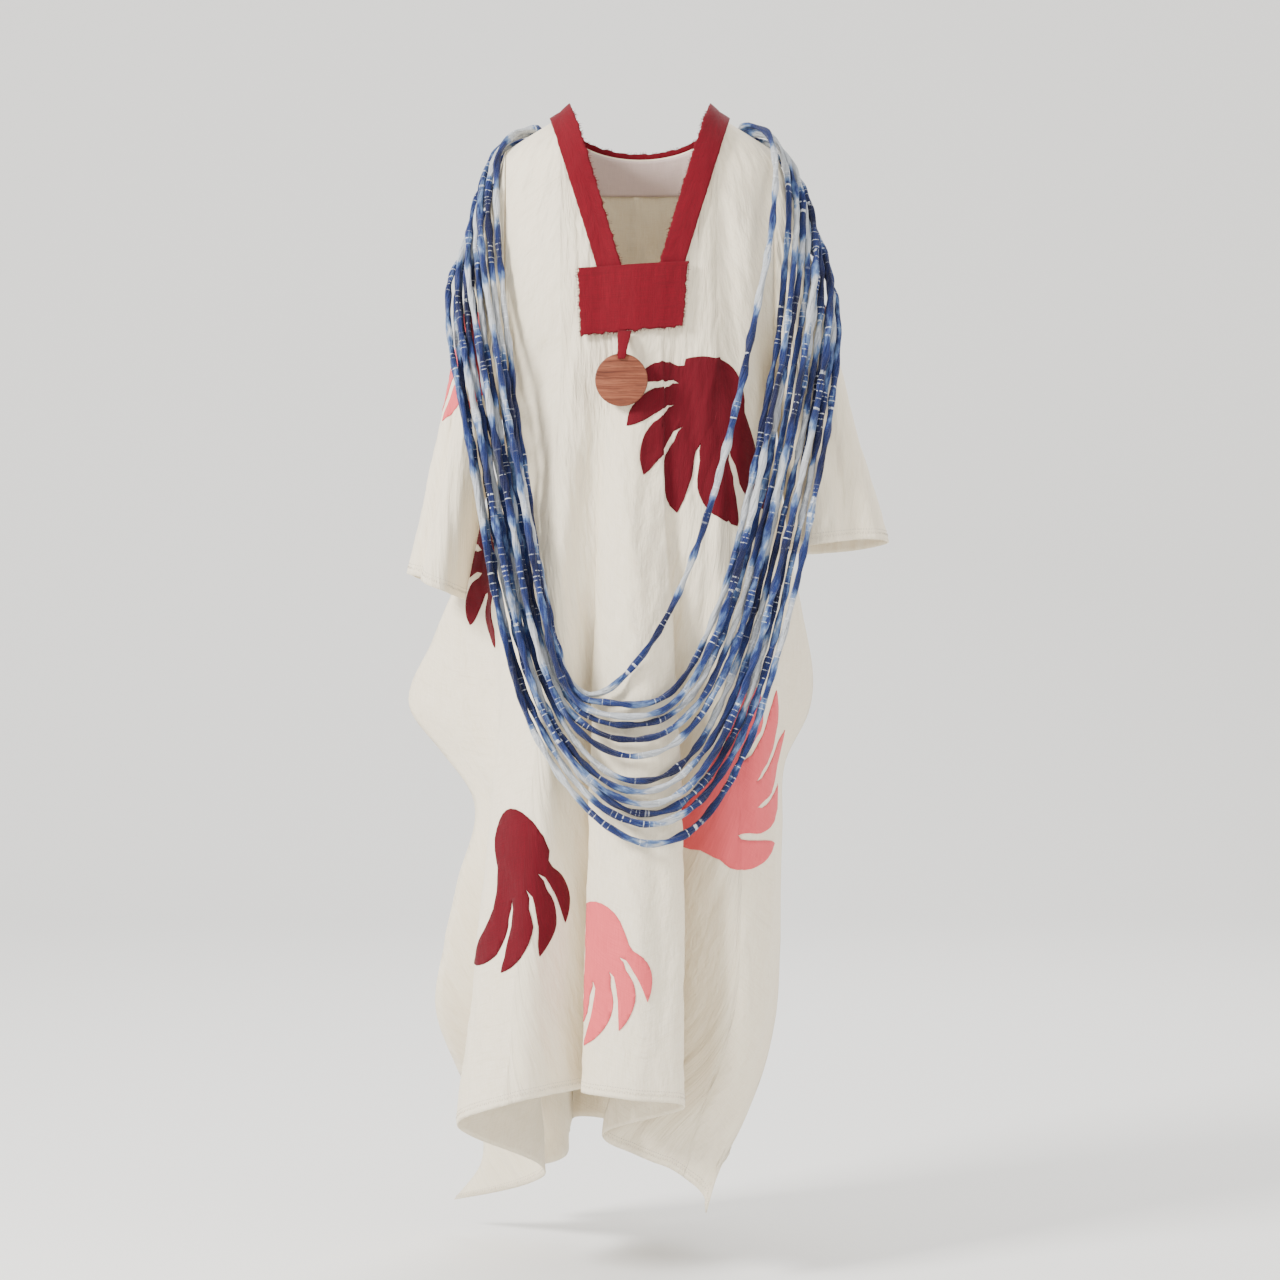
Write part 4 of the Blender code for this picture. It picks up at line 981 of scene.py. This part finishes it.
band_grids = {-1: neck_band(-1), 1: neck_band(1)[:, ::-1]}
for side, word in ((-1, "left"), (1, "right")):
    grid = band_grids[side]
    inner_edge = grid[:, -1 if side < 0 else 0]
    frays = torn_threads(f"band_threads_{word}", [(inner_edge[6:-12] + (0, -0.8, 0), (-side, -0.1, -0.1))],
                         crimson, 1.1)
    band = cloth_mesh(f"band_{word}", grid * MM, crimson, thick=BAND_WALL * MM)
    declare(band, grid, f"neck_band_{word}")

# %% Back band and facing
BACK_BAND_ABOVE = 7
BACK_BAND_BELOW = 26
FACING_HALF = 92
FACING_DROP = 100
FACING_LIFT = 2.6
FACING_WALL = 1.0
BACK_BAND_ROWS, BACK_BAND_COLUMNS = 10, 90
BACK_BAND_HALF_TURN = 78
FACING_ROWS, FACING_COLUMNS = 14, 60


def back_band():
    angle = np.radians(np.linspace(-BACK_BAND_HALF_TURN, BACK_BAND_HALF_TURN, BACK_BAND_COLUMNS))
    x = np.broadcast_to(NECK_HALF_WIDTH * np.sin(angle), (BACK_BAND_ROWS, BACK_BAND_COLUMNS))
    edge = NECK_DROP + (BACK_NECK_DROP - NECK_DROP) * np.cos(angle)
    share = np.linspace(0, 1, BACK_BAND_ROWS)[:, None]
    drop = edge - BACK_BAND_ABOVE + wobble(x[0], 31.0, 1.6) + share * (BACK_BAND_ABOVE + BACK_BAND_BELOW)
    return on_back.lifted(x, np.maximum(drop, shoulder_drop(x) + 1), BAND_LIFT)


def back_facing():
    x = np.broadcast_to(np.linspace(-FACING_HALF, FACING_HALF, FACING_COLUMNS), (FACING_ROWS, FACING_COLUMNS))
    edge = NECK_DROP + (BACK_NECK_DROP - NECK_DROP) * np.sqrt(1 - (x / NECK_HALF_WIDTH) ** 2) + 2
    down = np.linspace(0, 1, FACING_ROWS)[:, None]
    return on_back.lifted(x, edge + down * (FACING_DROP - edge), -FACING_LIFT)


grid = back_band()
frays = torn_threads("band_threads_back", [(grid[0], (0, -0.3, 0.8))], crimson, 0.9)
band = cloth_mesh("band_back", grid * MM, crimson, thick=BAND_WALL * MM, flip=True)
declare(band, grid, "neck_band_back")
grid = back_facing()
facing = cloth_mesh("facing", grid * MM, pink, thick=FACING_WALL * MM)
declare(facing, grid, "back_facing")

# %% Patch, tab and disc
PATCH_CORNERS = ((-80, 212), (61, 203), (-76, 299), (55, 287))
PATCH_WALL = 2.4
TAB_TOP = (-20, 285)
TAB_HALF_WIDTHS = (9, 4.5)
TAB_BOTTOM_DROP = 330
DISC_X = -24
DISC_DROP = 357
DISC_RADIUS = 34
DISC_THICKNESS = 8
DISC_STAND_OFF = 4.6
CLOTH_OUTER = 2.0
TAB_WALL = 2.0
PATCH_ROWS, PATCH_COLUMNS = 44, 70
TAB_ROWS, TAB_COLUMNS = 24, 9
DISC_SIDES = 96
DISC_BEVEL = 1.6


def chest_patch():
    size = (PATCH_ROWS, PATCH_COLUMNS)
    u = np.broadcast_to(np.linspace(0, 1, PATCH_COLUMNS), size)
    v = np.broadcast_to(np.linspace(0, 1, PATCH_ROWS)[:, None], size)
    top_left, top_right, bottom_left, bottom_right = PATCH_CORNERS
    flat = blend(blend(top_left, top_right, u), blend(bottom_left, bottom_right, u), v)
    left, right = wobble(flat[:, 0, 1], 41.0, 3.0), wobble(flat[:, -1, 1], 47.0, 3.0)
    side = left[:, None] * (1 - u) + right[:, None] * u
    rim = wobble(flat[-1, :, 0], 53.0, 3.0)[None, :] * v**3
    return on_front.lifted(flat[:, :, 0] + side, flat[:, :, 1] + rim, BAND_LIFT + BAND_WALL + 2 * GAP)


def disc_back():
    """The y of the disc's back face, just clear of the cloth behind it."""
    dx, dz = np.meshgrid((-DISC_RADIUS, 0, DISC_RADIUS), (-DISC_RADIUS, 0, DISC_RADIUS))
    return on_front.lifted(DISC_X + dx, DISC_DROP + dz, CLOTH_OUTER)[:, :, 1].min() - DISC_STAND_OFF


def pendant_tab():
    """The tab comes out from under the patch and ends on the disc's face. It is folded along its middle."""
    face = disc_back() - DISC_THICKNESS - 2 * GAP
    t = np.linspace(0, 1, TAB_ROWS)
    bottom = PATCH_CORNERS[2][1]
    drop = bottom - 5 + t * (TAB_BOTTOM_DROP - bottom + 5)
    half = TAB_HALF_WIDTHS[0] + (TAB_HALF_WIDTHS[1] - TAB_HALF_WIDTHS[0]) * t + wobble(t * 60, 61.0, 0.8)
    x = TAB_TOP[0] + (DISC_X - TAB_TOP[0]) * t
    start = on_front.lifted(x, drop, BAND_LIFT + BAND_WALL + PATCH_WALL + 4 * GAP)[:, 1]
    y = start + (np.minimum(face, start) - start) * np.minimum(1, 1.3 * t)
    across = np.linspace(-1, 1, TAB_COLUMNS)
    ridge = 0.8 * (1 - np.abs(across))
    z = np.broadcast_to(-drop[:, None], (TAB_ROWS, TAB_COLUMNS))
    return np.stack([x[:, None] + half[:, None] * across, y[:, None] - ridge, z], axis=2)


grid = chest_patch()
sides = [(grid[:, 0], (-1, -0.1, 0)), (grid[:, -1], (1, -0.1, 0)), (grid[-1], (0, -0.1, -1))]
torn = [(edge + (0, -1.2, 0), out) for edge, out in sides]
frays = torn_threads("patch_threads", torn, crimson, 1.4)
patch = cloth_mesh("patch", grid * MM, crimson, thick=PATCH_WALL * MM)
declare(patch, grid, "chest_patch")
grid = pendant_tab()
tab = cloth_mesh("tab", grid * MM, crimson, thick=TAB_WALL * MM)
declare(tab, grid, "pendant_tab")

turned = bmesh.new()
back_y = disc_back()
lie = Vector((0, 1, 0)).to_track_quat("Z", "Y").to_matrix().to_4x4()
lie.translation = Vector((DISC_X, back_y - DISC_THICKNESS / 2, -DISC_DROP)) * MM
bmesh.ops.create_cone(turned, cap_ends=True, segments=DISC_SIDES, radius1=DISC_RADIUS * MM,
                      radius2=DISC_RADIUS * MM, depth=DISC_THICKNESS * MM, matrix=lie)
rim = [edge for edge in turned.edges if sum(len(face.verts) > 4 for face in edge.link_faces) == 1]
bmesh.ops.bevel(turned, geom=rim, offset=DISC_BEVEL * MM, segments=4, profile=0.5, affect="EDGES")
disc = finish_piece("disc", turned, wood)
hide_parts("wooden_disc")
print("disc:", 2 * DISC_RADIUS, "mm across, its face at y", round(back_y - DISC_THICKNESS, 1))


# %% [markdown]
# ## Leaves
# Each leaf is an ordinary split leaf: a palm with fingers that fan out and curl to one side, parted by
# narrow slots with round ends. It is drawn flat by that rule, laid out on the cloth by distances, cut along
# the cloth's own grid and lifted onto it, so it bends with every fold below it.

# %% Flat leaves
# Leaves: cloth, distance across it from its middle, drop of the palm, the way its middle finger points
# (0 is down, 90 to the right), length, fan, number of fingers, curl, how much shorter the last one is (the
# first one where it is negative), and the part of the cloth that it lies between, from 0 to 1
LEAVES = {
    "leaf_chest": ("front", 132, 362, -38, 208, 160, 6, 12, -0.45, 0, 1),
    "leaf_left_side": ("front", -252, 592, -72, 134, 120, 4, 12, 0.1, 0, 1),
    "leaf_lower_left": ("front", -212, 942, 16, 208, 84, 4, -16, 0.35, 0, 1),
    "leaf_centre": ("front", -22, 1055, 22, 178, 84, 4, -16, 0.3, 15 / 33, 1),
    "leaf_lower_right": ("front", 238, 930, 116, 190, 130, 5, 14, -0.15, 25 / 33, 1),
    "leaf_sleeve_left": ("sleeve_left", 46, 283, -6, 146, 90, 4, -14, 0.2, 0, 1),
    "leaf_sleeve_right": ("sleeve_right", -20, 255, 40, 70, 120, 3, -14, 0.2, 0, 1),
}
CORAL_LEAVES = ("leaf_centre", "leaf_lower_right", "leaf_sleeve_left")
PALM = 0.46
PALM_BACK = 0.15
SLOT_WIDTH = 9.0
FINGER_GROWTH = 1.45
LEAF_WALL = 0.9
LEAF_GAP = 0.15
FINGER_STEPS = 27
PALM_STEPS = 14


def split_leaf(points, length, fan, fingers, curl, shrink):
    """The outline of a split leaf, as x and drop from its palm."""
    outline = []
    pitch = fan / fingers
    for k in range(fingers):
        middle = points - fan / 2 + pitch * (k + 0.5)
        from_longest = (k if shrink > 0 else fingers - 1 - k) / (fingers - 1)
        reach = length * (1 - abs(shrink) * from_longest)
        base = PALM * reach
        for turn in np.linspace(-1, 1, FINGER_STEPS):
            along = 1 - abs(turn) ** 1.7
            radius = base + (reach - base) * along
            room = min(radius, base * FINGER_GROWTH) * math.radians(pitch / 2) - SLOT_WIDTH / 2
            round_end = min(along * 9, 1) ** 0.5
            blade = max(0.0, 1 - max(0.0, (along - 0.5) / 0.5) ** 2.2) ** 0.9
            half = (room + (1 - round_end) * SLOT_WIDTH / 2) * blade
            width = math.degrees(half / radius) * math.copysign(1, turn)
            angle = math.radians(middle + width + curl * along**2)
            outline.append((radius * math.sin(angle), radius * math.cos(angle)))
    for share in np.linspace(0.04, 0.96, PALM_STEPS):
        angle = math.radians(points + fan / 2 + (360 - fan) * share)
        radius = length * (PALM_BACK + 0.16 * abs(2 * share - 1) ** 3)
        outline.append((radius * math.sin(angle), radius * math.cos(angle)))
    return np.array(outline)


class Ground:
    """A cloth's grid read as flat cloth: distance across it and drop."""

    def __init__(self, grid, side):
        self.grid = grid
        self.normal = outward_of(grid, side)
        self.middle = (grid.shape[1] - 1) / 2

    def place(self, across, drop):
        """Column and row, whole or not, of a place on the cloth."""
        drops = -self.grid[:, :, 2]
        every = range(drops.shape[1])
        rows = np.array([np.interp(drop, drops[:, c], range(len(drops))) for c in every])
        line = self.read(np.arange(len(rows)), rows, self.grid)
        length = way_along(line)
        length -= np.interp(self.middle, range(len(length)), length)
        column = float(np.interp(across, length, range(len(length))))
        return column, float(np.interp(column, range(len(rows)), rows))

    def read(self, columns, rows, values):
        columns = np.asarray(columns, float)
        rows = np.asarray(rows, float)
        c = np.clip(columns.astype(int), 0, values.shape[1] - 2)
        r = np.clip(rows.astype(int), 0, values.shape[0] - 2)
        u = (columns - c)[:, None]
        v = (rows - r)[:, None]
        upper = values[r, c] * (1 - u) + values[r, c + 1] * u
        lower = values[r + 1, c] * (1 - u) + values[r + 1, c + 1] * u
        return upper * (1 - v) + lower * v

    def lift(self, columns, rows, height):
        normal = self.read(columns, rows, self.normal)
        unit = normal / np.linalg.norm(normal, axis=1)[:, None]
        return self.read(columns, rows, self.grid) + unit * height


# %% [markdown]
# A leaf's face is cut at every row and column of the grid, because the cloth below is flat only between
# them. The cutting is done in grid places, where every fold line is a whole number.

# %% Leaves on the cloth
def cut_flat(shape, place, normal, clear=False):
    """Cuts a flat shape along one line, and takes away what lies past it where clear is set."""
    everything = shape.verts[:] + shape.edges[:] + shape.faces[:]
    bmesh.ops.bisect_plane(shape, geom=everything, dist=1e-5, plane_co=place, plane_no=normal,
                           clear_outer=clear)


def cut_along_grid(shape):
    """Cuts a flat shape at every whole column and row."""
    for axis, normal in enumerate(((1, 0, 0), (0, 1, 0))):
        values = [vert.co[axis] for vert in shape.verts]
        for at in range(math.floor(min(values)) + 1, math.ceil(max(values))):
            cut_flat(shape, Vector(normal) * at, normal)
    bmesh.ops.dissolve_degenerate(shape, dist=1e-4, edges=shape.edges[:])


def leaf(name, ground, material):
    cloth, across, drop, points, length, fan, fingers, curl, shrink, start, end = LEAVES[name]
    outline = split_leaf(points, length, fan, fingers, curl, shrink)
    places = np.array([ground.place(across + x, drop + down) for x, down in outline])
    shape = bmesh.new()
    ring = bmesh.ops.create_circle(shape, segments=len(places), radius=1, cap_ends=True)["verts"]
    ring.sort(key=lambda vert: math.atan2(vert.co.y, vert.co.x))
    for vert, place in zip(ring, places):
        vert.co = (*place, 0)
    shape.normal_update()
    bmesh.ops.triangulate(shape, faces=shape.faces[:])
    whole = ground.grid.shape[1] - 1
    for limit, side in ((start * whole, -1), (end * whole, 1)):
        cut_flat(shape, (limit, 0, 0), (side, 0, 0), clear=True)
    cut_along_grid(shape)
    columns = np.array([vert.co.x for vert in shape.verts])
    rows = np.array([vert.co.y for vert in shape.verts])
    flat = ground.read(columns, rows, lengths(ground.grid)) * MM
    layer = shape.loops.layers.uv.new("UVMap")
    shape.verts.index_update()
    for face in shape.faces:
        for loop in face.loops:
            loop[layer].uv = flat[loop.vert.index]
    for vert, point in zip(shape.verts, ground.lift(columns, rows, WALL + LEAF_GAP)):
        vert.co = Vector(point * MM)
    bmesh.ops.recalc_face_normals(shape, faces=shape.faces[:])
    shape.faces.ensure_lookup_table()
    outward = Vector(ground.read(columns[:1], rows[:1], ground.normal)[0])
    if shape.faces[0].normal.dot(outward) < 0:
        bmesh.ops.reverse_faces(shape, faces=shape.faces[:])
    area = sum(face.calc_area() for face in shape.faces)
    obj = finish_piece(name.replace("leaf", "split_leaf"), shape, material)
    add_wall(obj, LEAF_WALL * MM)
    turn = math.radians(points)
    whole_leaf = outline @ np.array(((math.cos(turn), math.sin(turn)), (-math.sin(turn), math.cos(turn))))
    cut = (np.ptp(whole_leaf[:, 0]) * MM, np.ptp(whole_leaf[:, 1]) * MM)
    slot = "coral_applique" if name in CORAL_LEAVES else "maroon_applique"
    declare_cut(obj, name, cut, area)


grounds = {"front": Ground(front_grid, 1)}
for name, grid in sleeve_grids.items():
    grounds[name] = Ground(grid, -sleeve_sides[name])
for name, row in LEAVES.items():
    leaf(name, grounds[row[0]], coral if name in CORAL_LEAVES else maroon)


# %% [markdown]
# ## Stitching
# The hems and cuffs are turned up once and held by two rows of stitches, the lower one a zigzag. A row of
# stitches is one thin thread that follows the cloth and dips below its face at each hole, so only the part
# between two holes shows.

# %% Stitched hems
THREAD = 0.42
STITCH = 3.6
STITCH_RISE = 0.55
STITCH_SINK = 0.15


def thread_along(name, places, normals, material, sway=0.0):
    """One thread along places on the cloth's face, in millimetres. It dips under at every stitch."""
    way = way_along(places)
    at = np.arange(0, way[-1], STITCH / 5)
    line, up = read_along(at, way, places), read_along(at, way, normals)
    run = np.gradient(line, axis=0)
    run /= np.linalg.norm(run, axis=1)[:, None]
    side = np.cross(up, run)
    phase = 2 * np.pi * at / STITCH
    line = line + up * (STITCH_RISE * np.cos(phase) - STITCH_SINK)[:, None]
    line = line + side * (sway * np.sign(np.sin(phase / 2)))[:, None]
    grid = []
    for angle in np.radians((0, 90, 180, 270, 360)):
        grid.append(line + (up * math.cos(angle) + side * math.sin(angle)) * THREAD)
    obj = cloth_mesh(name, np.array(grid).transpose(1, 0, 2) * MM, material, closed=True)
    return obj


def row_above_end(grid, normals, distance):
    """Places and normals of a grid that far above its last row, measured along each column."""
    way = way_along(grid[::-1])
    every = range(grid.shape[1])
    places, up = (np.array([[np.interp(distance, way[:, c], values[::-1, c, k]) for k in range(3)]
                            for c in every])
                  for values in (grid, normals))
    return places, up / np.linalg.norm(up, axis=1)[:, None]


hems = (("front_hem", front_grid, 1), ("back_hem", back_grid, -1),
        ("cuff_left", sleeve_grids["sleeve_left"], 1), ("cuff_right", sleeve_grids["sleeve_right"], -1))
# Both rows of stitches: how far above the end of the cloth, and how far each stitch swings to the side
STITCH_ROWS = ((9, 1.1), (14, 0.0))
for name, grid, side in hems:
    normals = outward_of(grid, side)
    for row, (distance, sway) in enumerate(STITCH_ROWS):
        places, up = row_above_end(grid, normals, distance)
        thread_along(f"{name}_{row + 1}", places + up * WALL, up, thread, sway)
print("hems stitched:", len(hems))
